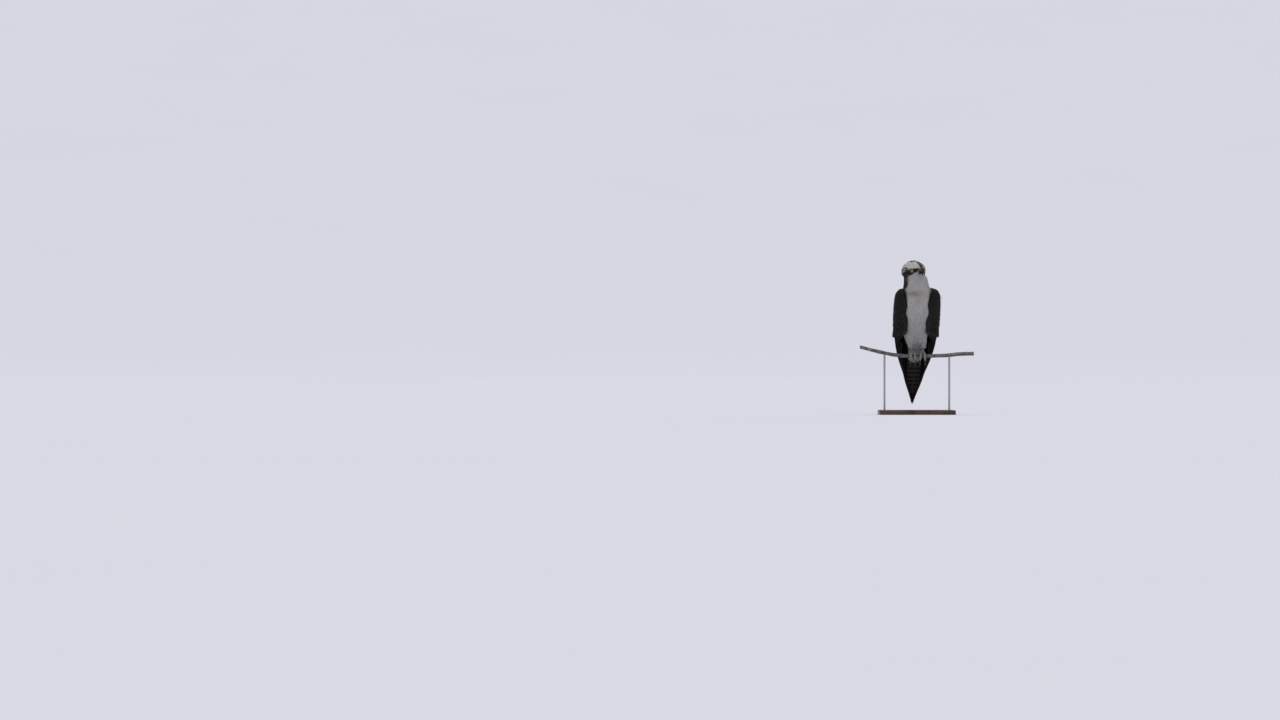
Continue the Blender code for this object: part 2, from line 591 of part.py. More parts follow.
def main():
    clear_scene()
    trunk = make_trunk()
    make_neck()
    head = make_head()
    for name, rows in (("beak_upper", UPPER_BILL), ("beak_lower", LOWER_BILL)):
        cut_away(head, make_bill(name, rows))
    for side in SIDES:
        cut_away(head, make_eye(side))
        make_wing(side)
        thigh = make_thigh(side)
        cut_away(trunk, thigh)
        make_tarsus(side)
        make_foot(side)
    make_tail()
    branch = make_branch()
    make_base()
    for side in SIDES:
        make_rod(side, branch)


main()
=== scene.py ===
"""Looks of an osprey perched on a display stand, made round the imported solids.

Everything is in metres in the frame of the solids: the bird faces -Y, its left side is +X and z is up.
The skin is taken from the solids of flesh and lies inside them by the depth of the plumage. Feathers are
closed vanes: each is walked over the skin from its root, the way the plumage lies there.
"""

import math
from functools import cache

import bmesh
import bpy
import numpy as np
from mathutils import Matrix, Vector


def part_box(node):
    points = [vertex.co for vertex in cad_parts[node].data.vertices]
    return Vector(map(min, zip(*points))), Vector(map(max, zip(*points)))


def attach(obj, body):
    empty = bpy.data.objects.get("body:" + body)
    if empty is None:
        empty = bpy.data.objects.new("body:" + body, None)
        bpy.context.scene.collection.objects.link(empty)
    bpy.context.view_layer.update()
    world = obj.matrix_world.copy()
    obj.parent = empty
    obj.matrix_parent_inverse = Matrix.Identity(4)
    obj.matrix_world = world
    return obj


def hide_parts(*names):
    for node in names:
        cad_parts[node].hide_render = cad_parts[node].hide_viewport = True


bl_info = {
    "name": "Osprey on a display stand",
    "version": (1, 0, 0),
    "blender": (4, 5, 0),
    "location": "3D View > Sidebar > Osprey",
    "description": "Builds the skin, feathers, bill, eyes, perch and stage round the packed solids",
    "category": "Object",
}

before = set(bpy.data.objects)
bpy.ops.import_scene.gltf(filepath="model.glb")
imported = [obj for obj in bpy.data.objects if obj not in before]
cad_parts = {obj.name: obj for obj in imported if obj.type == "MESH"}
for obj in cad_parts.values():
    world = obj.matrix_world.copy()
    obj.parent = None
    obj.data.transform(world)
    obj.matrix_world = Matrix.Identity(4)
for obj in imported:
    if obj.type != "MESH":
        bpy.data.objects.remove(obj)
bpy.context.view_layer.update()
BODY = "root"
SIDES = {"right": -1, "left": 1}

# The body's axis: how far it leans to the side, and its depth at each height
LEAN, UPRIGHT_Z = 0.0371, 0.410
AXIS_Y = ((0.038, 0.120), (0.087, 0.095), (0.127, 0.079), (0.165, 0.065), (0.200, 0.051), (0.240, 0.033),
          (0.283, 0.012), (0.330, -0.004), (0.400, -0.023), (0.460, -0.034), (0.506, -0.038),
          (0.560, -0.052), (0.610, -0.058))

# The head's own axes come from its two eyes; these place its middle and the root of the bill on them
EYE_FORWARD, EYE_UP = 0.0180, -0.0025
BILL_ROOT = (0.024, 0.0, -0.004)

# Where the folded wings leave the trunk bare: half widths of the breast and of the back
BREAST_EDGE = ((0.0385, 0.0025), (0.087, 0.0150), (0.127, 0.0290), (0.200, 0.0500), (0.240, 0.0580),
               (0.275, 0.0520), (0.300, 0.0480), (0.318, 0.0425), (0.338, 0.0365), (0.363, 0.0360),
               (0.400, 0.0430), (0.436, 0.0415), (0.465, 0.0460), (0.501, 0.0570))
BACK_EDGE = ((0.0385, 0.0010), (0.350, 0.0010), (0.400, 0.0060), (0.440, 0.0180), (0.501, 0.0300))

# The wings' level slices: reach to the side of each layer, to the back and to the front
COVERT_WIDTH = ((0.330, 0.0934), (0.418, 0.0936), (0.453, 0.0920), (0.485, 0.0870), (0.501, 0.0830))
SECONDARY_WIDTH = ((0.200, 0.0600), (0.240, 0.0745), (0.283, 0.0875), (0.310, 0.0928), (0.345, 0.0922),
                   (0.400, 0.0915))
PRIMARY_WIDTH = ((0.0385, 0.0030), (0.058, 0.0070), (0.087, 0.0170), (0.127, 0.0324), (0.165, 0.0438),
                 (0.200, 0.0577), (0.240, 0.0713), (0.283, 0.0810), (0.303, 0.0842), (0.345, 0.0900),
                 (0.418, 0.0936), (0.453, 0.0920), (0.501, 0.0830))
WING_BACK = ((0.0385, 0.1260), (0.087, 0.1165), (0.165, 0.1000), (0.240, 0.0815), (0.315, 0.0620),
             (0.374, 0.0480), (0.418, 0.0390), (0.453, 0.0310), (0.501, 0.0190))
WING_FRONT = ((0.0385, 0.0030), (0.127, 0.0080), (0.240, 0.0060), (0.283, 0.0090), (0.310, 0.0230),
              (0.335, 0.0410), (0.374, 0.0590), (0.418, 0.0650), (0.453, 0.0660), (0.501, 0.0620))
TRUNK_WIDTH = ((0.240, 0.016), (0.256, 0.024), (0.276, 0.034), (0.300, 0.045), (0.330, 0.056),
               (0.360, 0.062), (0.400, 0.065), (0.440, 0.064), (0.480, 0.060), (0.506, 0.054))
TRUNK_FRONT = ((0.240, 0.028), (0.256, 0.012), (0.268, 0.000), (0.282, -0.024), (0.300, -0.054),
               (0.330, -0.089), (0.360, -0.110), (0.400, -0.126), (0.440, -0.131), (0.480, -0.122),
               (0.506, -0.106))
TRUNK_BACK = ((0.240, 0.049), (0.268, 0.052), (0.330, 0.044), (0.400, 0.031), (0.440, 0.023),
              (0.480, 0.015), (0.506, 0.006))
WING_TOP, SHOULDER_ROUND, LAYER_STEP = 0.501, 0.034, 0.0016
WING_SHAPE, BREAST_SHAPE, BACK_SHAPE = 2.4, 1.7, 2.2
WING_RISE, THIGH_RISE = 0.0035, 0.0065
TAIL_WIDTH = ((0.079, 0.0060), (0.083, 0.0105), (0.092, 0.0140), (0.110, 0.0185), (0.135, 0.0240),
              (0.157, 0.0285), (0.200, 0.0300), (0.268, 0.0250))
TAIL_CLEARANCE = ((0.0385, 0.0027), (0.087, 0.0047), (0.200, 0.0062), (0.260, 0.0077), (0.310, 0.0112))

# Where each kind of feather ends, by the share of the way from the breast to the middle of the back
COVERT_TIPS = ((0.0, 0.335), (0.35, 0.345), (1.0, 0.372))
SECONDARY_TIPS = ((0.0, 0.307), (0.30, 0.306), (0.55, 0.282), (1.0, 0.206))
PRIMARY_TIPS = (0.0500, 0.0405, 0.0540, 0.0780, 0.1050, 0.1320, 0.1590, 0.1850, 0.2090, 0.2320)

# The dark stripe of each side of the face: forward, aside, up and half width, from the bill to the nape
EYE_STRIPE = ((0.034, 0.007, 0.001, 0.0058), (0.026, 0.020, -0.003, 0.0086), (0.018, 0.030, -0.0075, 0.0108),
              (0.000, 0.041, -0.014, 0.0110), (-0.024, 0.045, -0.021, 0.0140),
              (-0.039, 0.038, -0.031, 0.0155), (-0.048, 0.030, -0.048, 0.0165),
              (-0.052, 0.026, -0.066, 0.0190))

# The bough: height along it, and its knots: place, height and reach
PERCH_Y, PERCH_RADIUS, PERCH_HALF = -0.025, 0.0073, 0.225
PERCH_RISE = ((-0.225, 0.2676), (-0.146, 0.2478), (-0.079, 0.2350), (-0.035, 0.2320), (0.045, 0.2320),
              (0.110, 0.2340), (0.170, 0.2396), (0.225, 0.2412))
KNOTS = ((-0.146, 0.0022, 0.010), (-0.062, 0.0010, 0.008), (0.150, 0.0010, 0.014))

# The slope under the tail that its soft feathers lie on: depth at each height
VENT_SLOPE = ((0.140, 0.088), (0.165, 0.0765), (0.195, 0.062), (0.220, 0.044), (0.245, 0.022),
              (0.272, 0.004))

# Heights at which the trunk ends and the pieces of body plumage are parted, and how far the head reaches
TRUNK_FOOT, BELLY_TOP, BREAST_TOP, HEAD_REACH = 0.240, 0.350, 0.478, 0.066

# The skin's even squares, and how far body and legs are swollen so that the solids meet
HIDE_SQUARE, BODY_SWELL, LEG_SWELL = 0.0016, 0.0016, 0.0004

# Chance places that roots are thinned from, the size of a feather on the map for baking, and the share of
# its length past which a vane gets no narrower
SEED_COUNT, BAKE_PATCH, BLUNT = 900_000, 0.003, 0.985

# How far to the front the eyes look, and the balls' radius as a share of the solids'
GAZE, BALL = math.radians(40), 0.985

# The bill's box in the head, that no vane may enter: from here on, half width, foot and top
BILL_BOX = (0.0345, 0.0070, -0.0145, 0.0042)


# Settings


def colour_setting(name, description, default):
    """A colour that a user may change."""
    return bpy.props.FloatVectorProperty(name=name, description=description, default=default,
                                         subtype="COLOR")


def length_setting(name, description, default):
    """A length in metres."""
    return bpy.props.FloatProperty(name=name, description=description, default=default, subtype="DISTANCE",
                                   unit="LENGTH")


def strength_setting(name, description, default):
    """The strength of a light."""
    return bpy.props.FloatProperty(name=name, description=description, default=default, min=0.0)


class PlumageSettings(bpy.types.PropertyGroup):
    seed: bpy.props.IntProperty(name="Seed", description="Start of the chance in the plumage", default=11)
    spacing: bpy.props.FloatProperty(name="Spacing", description="Scale of the gaps between feathers",
                                     default=1.0, min=0.7, max=3.0)
    dark: colour_setting("Dark brown", "Back, wings and eye stripe", (0.0084, 0.0064, 0.0074))
    white: colour_setting("White", "Breast, throat and crown", (0.505, 0.492, 0.474))
    band: colour_setting("Breast band", "Brownish feathers of the breast", (0.17, 0.12, 0.09))
    # The tail's pale bars and tip get this dim tone: painted shade of the tail's underside
    tail_bar: colour_setting("Tail bars", "Pale bars under the tail", (0.050, 0.044, 0.042))


class HeadSettings(bpy.types.PropertyGroup):
    iris: colour_setting("Iris", "Colour of the iris", (0.66, 0.37, 0.025))
    cere: colour_setting("Cere", "Soft skin at the root of the bill", (0.105, 0.122, 0.142))
    horn: colour_setting("Horn", "Bill and claws", (0.016, 0.015, 0.017))
    leg: colour_setting("Legs", "Scaly skin of the legs", (0.35, 0.34, 0.29))
    opening: bpy.props.FloatProperty(name="Eye opening", description="Half angle between the lids",
                                     default=math.radians(47), subtype="ANGLE")


class StandSettings(bpy.types.PropertyGroup):
    bark: colour_setting("Bark", "Weathered bark", (0.100, 0.090, 0.091))
    wood: colour_setting("Base", "Stained wood of the base", (0.115, 0.062, 0.034))
    steel: colour_setting("Rods", "Steel of the rods", (0.50, 0.50, 0.51))


class StageSettings(bpy.types.PropertyGroup):
    lens: bpy.props.FloatProperty(name="Lens", description="Focal length in millimetres", default=200.0)
    distance: length_setting("Distance", "From the camera to the perch", 28.1)
    aside: length_setting("Aside", "The camera's place along X", -1.094)
    height: length_setting("Height", "The camera's height over the floor", 0.216)
    paper: colour_setting("Paper", "Colour of floor and backdrop", (0.70, 0.71, 0.79))
    room_light: strength_setting("Room light", "Strength of the even light", 0.24)
    back_light: strength_setting("Back light", "Soft light from behind, above", 2.42)
    key_light: strength_setting("Key light", "Soft light from beside the camera", 0.07)


# Numbers


def curve(table, at):
    """Smooth line through the table's rows: cubic pieces whose slope at a row is the harmonic mean of the
    slopes beside it, or zero where those change sign, so that it never overshoots."""
    rows = np.array(table, float)
    x, y = rows[:, 0], rows[:, 1]
    step = np.diff(x)
    slope = np.diff(y) / step
    knot = np.zeros(len(x))
    same = slope[:-1] * slope[1:] > 0
    knot[1:-1][same] = 2 / (1 / slope[:-1][same] + 1 / slope[1:][same])
    knot[0], knot[-1] = slope[0], slope[-1]
    at = np.clip(np.asarray(at, float), x[0], x[-1])
    i = np.clip(np.searchsorted(x, at) - 1, 0, len(step) - 1)
    t = (at - x[i]) / step[i]
    rise = y[i + 1] - y[i]
    cubic = knot[i] * step[i] + knot[i + 1] * step[i] - 2 * rise
    square = rise - knot[i] * step[i] - cubic
    return y[i] + t * (knot[i] * step[i] + t * (square + t * cubic))


def ease(low, high, value):
    """0 at low, 1 at high and level at both ends: 3 t squared less 2 t cubed."""
    t = np.clip((value - low) / (high - low), 0, 1)
    return t * t * (3 - 2 * t)


def unit(vectors):
    """Vectors at length one."""
    return vectors / np.maximum(np.linalg.norm(vectors, axis=-1, keepdims=True), 1e-9)


def level_with(vectors, normals):
    """The part of each vector that lies along the surface, at length one."""
    return unit(vectors - (vectors * normals).sum(-1, keepdims=True) * normals)


def ripple(points, scale, seed):
    """Soft chance between -1 and 1: the mean of five sine waves in different directions."""
    rng = np.random.default_rng(seed)
    waves = unit(rng.normal(size=(5, 3))) * rng.uniform(0.7, 1.6, (5, 1)) * 2 * math.pi / scale
    phase = rng.uniform(0, 2 * math.pi, 5)
    return np.sin(points @ waves.T + phase).mean(-1) * 1.6


# The bird's own coordinates


def middle(node):
    """Middle of the box round a CAD node."""
    low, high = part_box(node)
    return np.array((low + high) / 2)


EYES = {side: middle("eye_" + side) for side in SIDES}
EYE_RADIUS = float(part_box("eye_left")[1].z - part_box("eye_left")[0].z) / 2
ASIDE = unit(EYES["left"] - EYES["right"])
UPWARD = np.array((0, 0, 1.0))
AHEAD = np.cross(ASIDE, UPWARD)
HEAD = (EYES["left"] + EYES["right"]) / 2 - AHEAD * EYE_FORWARD - np.array((0, 0, EYE_UP))


def head_point(forward, aside, up):
    """Points given along the head's own axes."""
    forward, aside, up = np.broadcast_arrays(forward, aside, up)
    return HEAD + forward[..., None] * AHEAD + aside[..., None] * ASIDE + up[..., None] * UPWARD


def in_head(points):
    """Forward, aside and up in the head, for points of the frame."""
    apart = points - HEAD
    return apart @ AHEAD, apart @ ASIDE, apart[..., 2]


def from_bill(points):
    """Distance from the root of the bill."""
    return np.linalg.norm(points - head_point(*BILL_ROOT), axis=-1)


def middle_x(z):
    """Where the middle of the leaning body is at a height."""
    return LEAN * (z - UPRIGHT_Z)


def off_middle(points):
    """How far points are to the side of the body's middle, left being positive."""
    return points[..., 0] - middle_x(points[..., 2])


def round_body(points):
    """Turn round the body's axis, 0 in front and pi behind, negative on the right side."""
    return np.arctan2(off_middle(points), curve(AXIS_Y, points[..., 2]) - points[..., 1])


def lie(points):
    """Which way the plumage lies: away from the bill on the head, elsewhere down and a little outwards."""
    near = (1 - ease(0.048, 0.084, from_bill(points)))[..., None]
    outwards = off_middle(points) * 2.5
    down = np.stack([outwards, np.full_like(outwards, 0.12), np.full_like(outwards, -1.0)], -1)
    return unit(points - head_point(*BILL_ROOT)) * near + unit(down) * (1 - near)


# Markings, shared by skin and feathers


def stripe_gap(points):
    """Distance from the edge of the eye stripe, negative within: least over its straight pieces."""
    forward, aside, up = in_head(points)
    here = np.stack([forward, np.abs(aside), up], -1)
    rows = np.array(EYE_STRIPE)
    least = np.full(len(points), 1.0)
    for start, end in zip(rows[:-1], rows[1:]):
        way = end[:3] - start[:3]
        t = np.clip((here - start[:3]) @ way / (way @ way), 0, 1)
        gap = np.linalg.norm(here - start[:3] - t[:, None] * way, axis=1)
        least = np.minimum(least, gap - start[3] - t * (end[3] - start[3]))
    return least


def darkness(points, chance):
    """How far each point is from white to dark: the eye stripe, the hindneck, the back and the crown."""
    rough = chance * 0.0022 + ripple(points, 0.016, 3) * 0.0012
    stripe = ease(0.0016, -0.0016, stripe_gap(points) + rough)
    turn = np.degrees(round_body(points))
    z = points[..., 2]
    edge = 92 + 8 * ease(0.500, 0.470, z) + chance * 7 + ripple(points, 0.030, 5) * 5
    edge = edge - 48 * ease(0.496, 0.516, z) * (turn < 0)
    top = 0.556 + 0.012 * ease(150, 120, np.abs(turn))
    back = ease(edge - 5, edge + 5, np.abs(turn)) * ease(top, top - 0.020, z + chance * 0.004)
    back = back * ease(0.262, 0.300, z)
    return np.maximum(np.maximum(stripe, back), crown_darkness(points, chance))


def crown_darkness(points, chance):
    """Dark feathers of the crown: most on the bird's left and along the top, few on the right brow."""
    forward, aside, up = in_head(points)
    brow_patch = np.exp(-(((aside - 0.026) / 0.008) ** 2) - ((up - 0.010) / 0.0045) ** 2)
    rim = ease(-0.030, -0.037, aside + ripple(points, 0.014, 18) * 0.002) * ease(0.018, 0.006, forward)
    rim = rim * ease(0.016, 0.008, up)
    floor = 0.004 - 0.006 * ease(-0.002, 0.008, aside) - 0.014 * rim
    crown = ease(floor, floor + 0.008, up - 0.10 * np.abs(aside)) * (1 - 0.65 * brow_patch)
    crown = crown * ease(0.068, 0.056, np.linalg.norm(points - HEAD, axis=1))
    left = ease(-0.004, 0.006, aside + ripple(points, 0.02, 8) * 0.004)
    top = ease(0.0255, 0.0300, up + ripple(points, 0.012, 12) * 0.002) * ease(0.012, 0.000, forward)
    nape = ease(-0.013, -0.026, forward) * 0.70
    likely = np.clip(0.04 + 0.90 * left + 0.84 * top + nape + 0.72 * rim, 0, 0.975)
    blaze = np.exp(-(((aside - 0.008) / 0.008) ** 2)) * ease(0.002, 0.008, up)
    blaze = blaze * ease(0.002, 0.014, forward)
    crown = crown * (np.abs(np.sin(chance * 57.0)) < likely)
    return np.maximum(crown, blaze * (np.abs(np.sin(chance * 43.0)) < 1.1 * blaze))


def streaking(points, chance):
    """How strong a dark streak runs down each pale feather of the crown and nape."""
    forward, _, up = in_head(points)
    crown = ease(0.008, 0.018, up) * ease(0.066, 0.054, np.linalg.norm(points - HEAD, axis=1))
    nape = ease(-0.028, -0.042, forward) * ease(-0.060, -0.030, up)
    return np.clip(0.55 * crown + 0.75 * nape, 0, 1) * (np.sin(chance * 91.0) > 0.1)


def banding(points, chance):
    """The faint necklace across the breast, lower at its middle, and a few streaks below it."""
    x, z = points[..., 0], points[..., 2]
    line = 0.487 + 0.10 * np.abs(x + 0.012)
    necklace = np.exp(-(((z - line) / 0.011) ** 2)) * np.exp(-(((x + 0.010) / 0.034) ** 2))
    low = 0.5 * np.exp(-(((z - 0.461) / 0.012) ** 2) - ((x - 0.002) / 0.012) ** 2)
    front = points[..., 1] < -0.06
    return front * np.clip(necklace + low, 0, 1) * ease(-0.6, 0.6, chance + 0.2)


def tones(points, chance):
    """Colour of the plumage at each point, with painted shade on the lower belly."""
    settings = bpy.context.scene.osprey_plumage
    dark, white, band = (np.array(c[:]) for c in (settings.dark, settings.white, settings.band))
    cream = np.array((1.0, 0.93, 0.80))
    forward, _, up = in_head(points)
    warm = ease(-0.015, -0.035, forward) * ease(-0.02, 0.005, up) * 0.6
    pale = white * (1 - warm[:, None] * (1 - cream)) * (1 + 0.05 * chance[:, None])
    pale = pale + (band - pale) * (banding(points, chance) * 0.75)[:, None]
    brow = ease(0.002, 0.012, up) * ease(-0.020, -0.004, forward)
    # Lighter at the brow, and darker towards the legs below the breast: painted shade under the body
    pale = pale * (1 + 0.24 * brow - 0.16 * ease(0.45, 0.35, points[..., 2]))[:, None]
    deep = dark * (1 + 0.22 * chance[:, None])
    share = darkness(points, chance)[:, None]
    return pale * (1 - share) + deep * share


# Meshes


def add_mesh(name, points, *faces, smooth=None):
    """A mesh object from points and arrays of faces, each array's faces having one size.

    Its faces are smooth, or only the first so many of them.
    """
    faces = [np.asarray(group) for group in faces if len(group)]
    corners = np.concatenate([group.ravel() for group in faces]).astype(np.int32)
    sizes = np.concatenate([np.full(len(group), group.shape[1]) for group in faces])
    mesh = bpy.data.meshes.new(name)
    mesh.vertices.add(len(points))
    mesh.vertices.foreach_set("co", np.asarray(points, np.float32).ravel())
    mesh.loops.add(len(corners))
    mesh.loops.foreach_set("vertex_index", corners)
    mesh.polygons.add(len(sizes))
    mesh.polygons.foreach_set("loop_start", np.concatenate([[0], np.cumsum(sizes)[:-1]]).astype(np.int32))
    mesh.update(calc_edges=True)
    mesh.shade_smooth()
    if smooth is not None:
        flat = mesh.attributes.new("sharp_face", "BOOLEAN", "FACE")
        flat.data.foreach_set("value", np.arange(len(sizes)) >= smooth)
    return object_of(mesh, name)


def grid_faces(rows, columns, wrap=False):
    """Four-cornered faces between the points of a grid; with wrap the last column meets the first."""
    index = np.arange(rows * columns).reshape(rows, columns)
    if wrap:
        index = np.concatenate([index, index[:, :1]], 1)
    return np.stack([index[:-1, :-1], index[:-1, 1:], index[1:, 1:], index[1:, :-1]], -1).reshape(-1, 4)


def span_and_turn(low, high, rows, around):
    """Even steps of a span, and angles all the way round at each of them."""
    return np.meshgrid(np.linspace(low, high, rows), np.linspace(0, 2 * math.pi, around, endpoint=False),
                       indexing="ij")


def close_up(piece):
    """Merges the points that meet at poles and seams and turns every face outwards."""
    shape = bmesh.new()
    shape.from_mesh(piece.data)
    bmesh.ops.remove_doubles(shape, verts=shape.verts, dist=1e-7)
    bmesh.ops.recalc_face_normals(shape, faces=shape.faces)
    shape.to_mesh(piece.data)
    shape.free()
    piece.data.shade_smooth()
    return piece


def write(mesh, name, values):
    """Keeps values at the mesh's points: one number, three, or a colour of four."""
    values = np.asarray(values, np.float32)
    kind, field = {1: ("FLOAT", "value"), 3: ("FLOAT_VECTOR", "vector"),
                   4: ("FLOAT_COLOR", "color")}[values.shape[1] if values.ndim > 1 else 1]
    attribute = mesh.attributes.new(name, kind, "POINT")
    attribute.data.foreach_set(field, values.ravel())


def opaque(colours):
    """Colours with a full fourth channel."""
    return np.concatenate([colours, np.ones((len(colours), 1))], 1)


def read(mesh):
    """Points and their normals."""
    points = np.empty(len(mesh.vertices) * 3, np.float32)
    mesh.vertices.foreach_get("co", points)
    normals = np.empty(len(mesh.vertices) * 3, np.float32)
    mesh.vertex_normals.foreach_get("vector", normals)
    return points.reshape(-1, 3).astype(float), normals.reshape(-1, 3).astype(float)


def triangles(mesh):
    """The three points of each triangle."""
    mesh.calc_loop_triangles()
    corners = np.empty(len(mesh.loop_triangles) * 3, np.int32)
    mesh.loop_triangles.foreach_get("vertices", corners)
    return corners.reshape(-1, 3)


def merged(node):
    """A copy of a CAD node's mesh with its loose triangles joined at their corners."""
    mesh = bpy.data.meshes.new("copy_of_" + node)
    shape = bmesh.new()
    shape.from_mesh(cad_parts[node].data)
    bmesh.ops.remove_doubles(shape, verts=shape.verts, dist=1e-6)
    shape.to_mesh(mesh)
    shape.free()
    return mesh


def finished_mesh(piece):
    """The piece's mesh with its modifiers applied; the piece itself is taken away."""
    bpy.context.view_layer.update()
    mesh = bpy.data.meshes.new_from_object(piece.evaluated_get(bpy.context.evaluated_depsgraph_get()))
    bpy.data.objects.remove(piece)
    return mesh


def one_hide(name, swelling, voxel):
    """Copies of CAD nodes, each swollen until they meet, made one closed mesh of small even squares."""
    points, faces, start = [], [], 0
    for node, swell in swelling.items():
        mesh = merged(node)
        place, normal = read(mesh)
        points.append(place + normal * swell)
        faces.append(triangles(mesh) + start)
        start += len(place)
    rough = add_mesh(name, np.concatenate(points), np.concatenate(faces))
    remesh = rough.modifiers.new("even", "REMESH")
    remesh.mode = "VOXEL"
    remesh.voxel_size = voxel
    return finished_mesh(rough)


def relaxed(mesh, points, weight, rounds):
    """Moves each point by its weight towards the mean of its neighbours, round after round."""
    ends = np.empty(len(mesh.edges) * 2, np.int32)
    mesh.edges.foreach_get("vertices", ends)
    a, b = ends.reshape(-1, 2).T
    here, there = np.concatenate([a, b]), np.concatenate([b, a])
    count = np.bincount(here, minlength=len(points))[:, None]
    for _ in range(rounds):
        total = np.stack([np.bincount(here, points[there, k], len(points)) for k in range(3)], 1)
        points = points + weight[:, None] * (total / count - points)
    return points


def set_points(mesh, points):
    """Moves a mesh's points to new places."""
    mesh.vertices.foreach_set("co", points.astype(np.float32).ravel())
    mesh.update()
    mesh.shade_smooth()


def refined(nodes, levels):
    """Copies of CAD nodes joined into one mesh and rounded by subdivision."""
    shape = bmesh.new()
    for node in nodes:
        shape.from_mesh(merged(node))
    bmesh.ops.join_triangles(shape, faces=shape.faces, angle_face_threshold=0.7, angle_shape_threshold=3.1)
    mesh = bpy.data.meshes.new("refined")
    shape.to_mesh(mesh)
    shape.free()
    rough = object_of(mesh, "refined")
    rounding = rough.modifiers.new("round", "SUBSURF")
    rounding.levels = rounding.render_levels = levels
    return finished_mesh(rough)


def object_of(mesh, name):
    """An object of the scene that shows a mesh."""
    piece = bpy.data.objects.new(name, mesh)
    bpy.context.scene.collection.objects.link(piece)
    return piece


def paint(piece, material):
    """Gives a piece one material in place of any that it has."""
    piece.data.materials.clear()
    piece.data.materials.append(material)


def place_piece(piece, name, material, slot, *nodes):
    """Names a piece, gives it its finish and makes it stand for CAD nodes."""
    piece.name = piece.data.name = name
    paint(piece, material)
    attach(piece, BODY)
    if nodes:
        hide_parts(*nodes)
    return piece


# Surfaces to lay feathers on


class Surface:
    """Points with normals spread over a surface, and a grid of cells that knows the nearest of them."""

    def __init__(self, points, normals, cell=0.0025, reach=5):
        self.points, self.normals, self.cell = points, normals, cell
        self.low = points.min(0) - (reach + 2) * cell
        size = np.ceil((points.max(0) - self.low) / cell).astype(int) + reach + 3
        self.grid = np.full(size, -1, np.int32)
        self.grid[tuple(((points - self.low) / cell).astype(int).T)] = np.arange(len(points))
        for _ in range(reach):
            self.grid = self.grown()

    def grown(self):
        """Every cell takes over a neighbour's point where that one is nearer than its own."""
        wider = self.grid.copy()
        for axis, step in ((0, 1), (0, -1), (1, 1), (1, -1), (2, 1), (2, -1)):
            offered = np.roll(self.grid, step, axis)
            cells = np.nonzero(offered >= 0)
            offered, own = offered[cells], wider[cells]
            here = self.low + (np.stack(cells, 1) + 0.5) * self.cell
            gap = ((here - self.points[offered]) ** 2).sum(1)
            own_gap = np.where(own >= 0, ((here - self.points[own]) ** 2).sum(1), 1.0)
            nearer = gap < own_gap
            wider[tuple(c[nearer] for c in cells)] = offered[nearer]
        return wider

    def settle(self, places):
        """Drops places on to the tangent plane of the nearest point; also its normal, and if one is near."""
        cells = ((places - self.low) / self.cell).astype(int)
        inside = ((cells >= 0) & (cells < self.grid.shape)).all(1)
        cells = np.where(inside[:, None], cells, 0)
        nearest = self.grid[tuple(cells.T)]
        found = inside & (nearest >= 0)
        normals = self.normals[nearest]
        gap = ((places - self.points[nearest]) * normals).sum(1, keepdims=True)
        return np.where(found[:, None], places - gap * normals, places), normals, found


def polar_reach(angle, width, front, back, front_shape, back_shape):
    """Distance from the axis to a superellipse at an angle: 0 is to the side, -90 degrees in front."""
    ahead = np.sin(angle) < 0
    power = np.where(ahead, front_shape, back_shape)
    side = np.abs(np.cos(angle)) / np.maximum(width, 1e-4)
    along = np.abs(np.sin(angle)) / np.maximum(np.where(ahead, front, back), 1e-4)
    return (side**power + along**power) ** (-1 / power)


def trunk_reach(angle, z):
    """Distance from the axis to the side of the trunk at an angle, as polar_reach gives it."""
    axis = curve(AXIS_Y, z)
    reach = polar_reach(angle, curve(TRUNK_WIDTH, z), axis - curve(TRUNK_FRONT, z),
                        curve(TRUNK_BACK, z) - axis, BREAST_SHAPE, BACK_SHAPE)
    return np.where(z > TRUNK_FOOT, reach, 0)


def wing_face(side, widths, inset, shoulder=False):
    """The outer face of one layer of a folded wing, as a function of share, height and depth below it.

    The share runs from the breast's edge to the middle of the back and goes by angle round the axis. The
    reach at an angle is a superellipse, but never inside the trunk; the top is rounded by a quarter circle.
    """
    def face(share, z, depth=0.0):
        axis = curve(AXIS_Y, z)
        span = curve(PRIMARY_WIDTH, z)
        width = curve(widths, z)
        front = curve(WING_FRONT, z)
        back = curve(WING_BACK, z) - axis - np.minimum(inset, 0.2 * width)
        edge_x = np.minimum(curve(BREAST_EDGE, z), span * 0.93)
        edge_y = front * (1 - (edge_x / span) ** WING_SHAPE) ** (1 / WING_SHAPE)
        flank = np.maximum(curve(TRUNK_WIDTH, z), edge_x * 1.001)
        breast = axis - curve(TRUNK_FRONT, z)
        thigh = THIGH_RISE * np.exp(-(((z - 0.312) / 0.018) ** 2))
        breast = breast * (1 - (edge_x / flank) ** BREAST_SHAPE) ** (1 / BREAST_SHAPE) + 0.0015 + thigh
        edge_y = np.where(z > TRUNK_FOOT, np.maximum(edge_y, breast), edge_y)
        meet_x = curve(BACK_EDGE, z)
        meet_y = back * (1 - (meet_x / span) ** WING_SHAPE) ** (1 / WING_SHAPE)
        first, last = np.arctan2(-edge_y, edge_x), np.arctan2(meet_y, meet_x)
        angle = first + (last - first) * share
        reach = polar_reach(angle, width, front, back, WING_SHAPE, WING_SHAPE)
        low = trunk_reach(angle, z) + WING_RISE + thigh * ease(0.35, 0.05, share)
        if shoulder:
            fall = np.clip((WING_TOP - z) / SHOULDER_ROUND, 0, 1)
            low = low - 0.0065 * (1 - fall) ** 6
            reach = low + (reach - low) * np.sqrt(1 - (1 - fall) ** 2)
        reach = np.maximum(reach, low) - depth
        x = middle_x(z) + SIDES[side] * reach * np.cos(angle)
        return np.stack([x, axis + reach * np.sin(angle), z], -1)

    return face


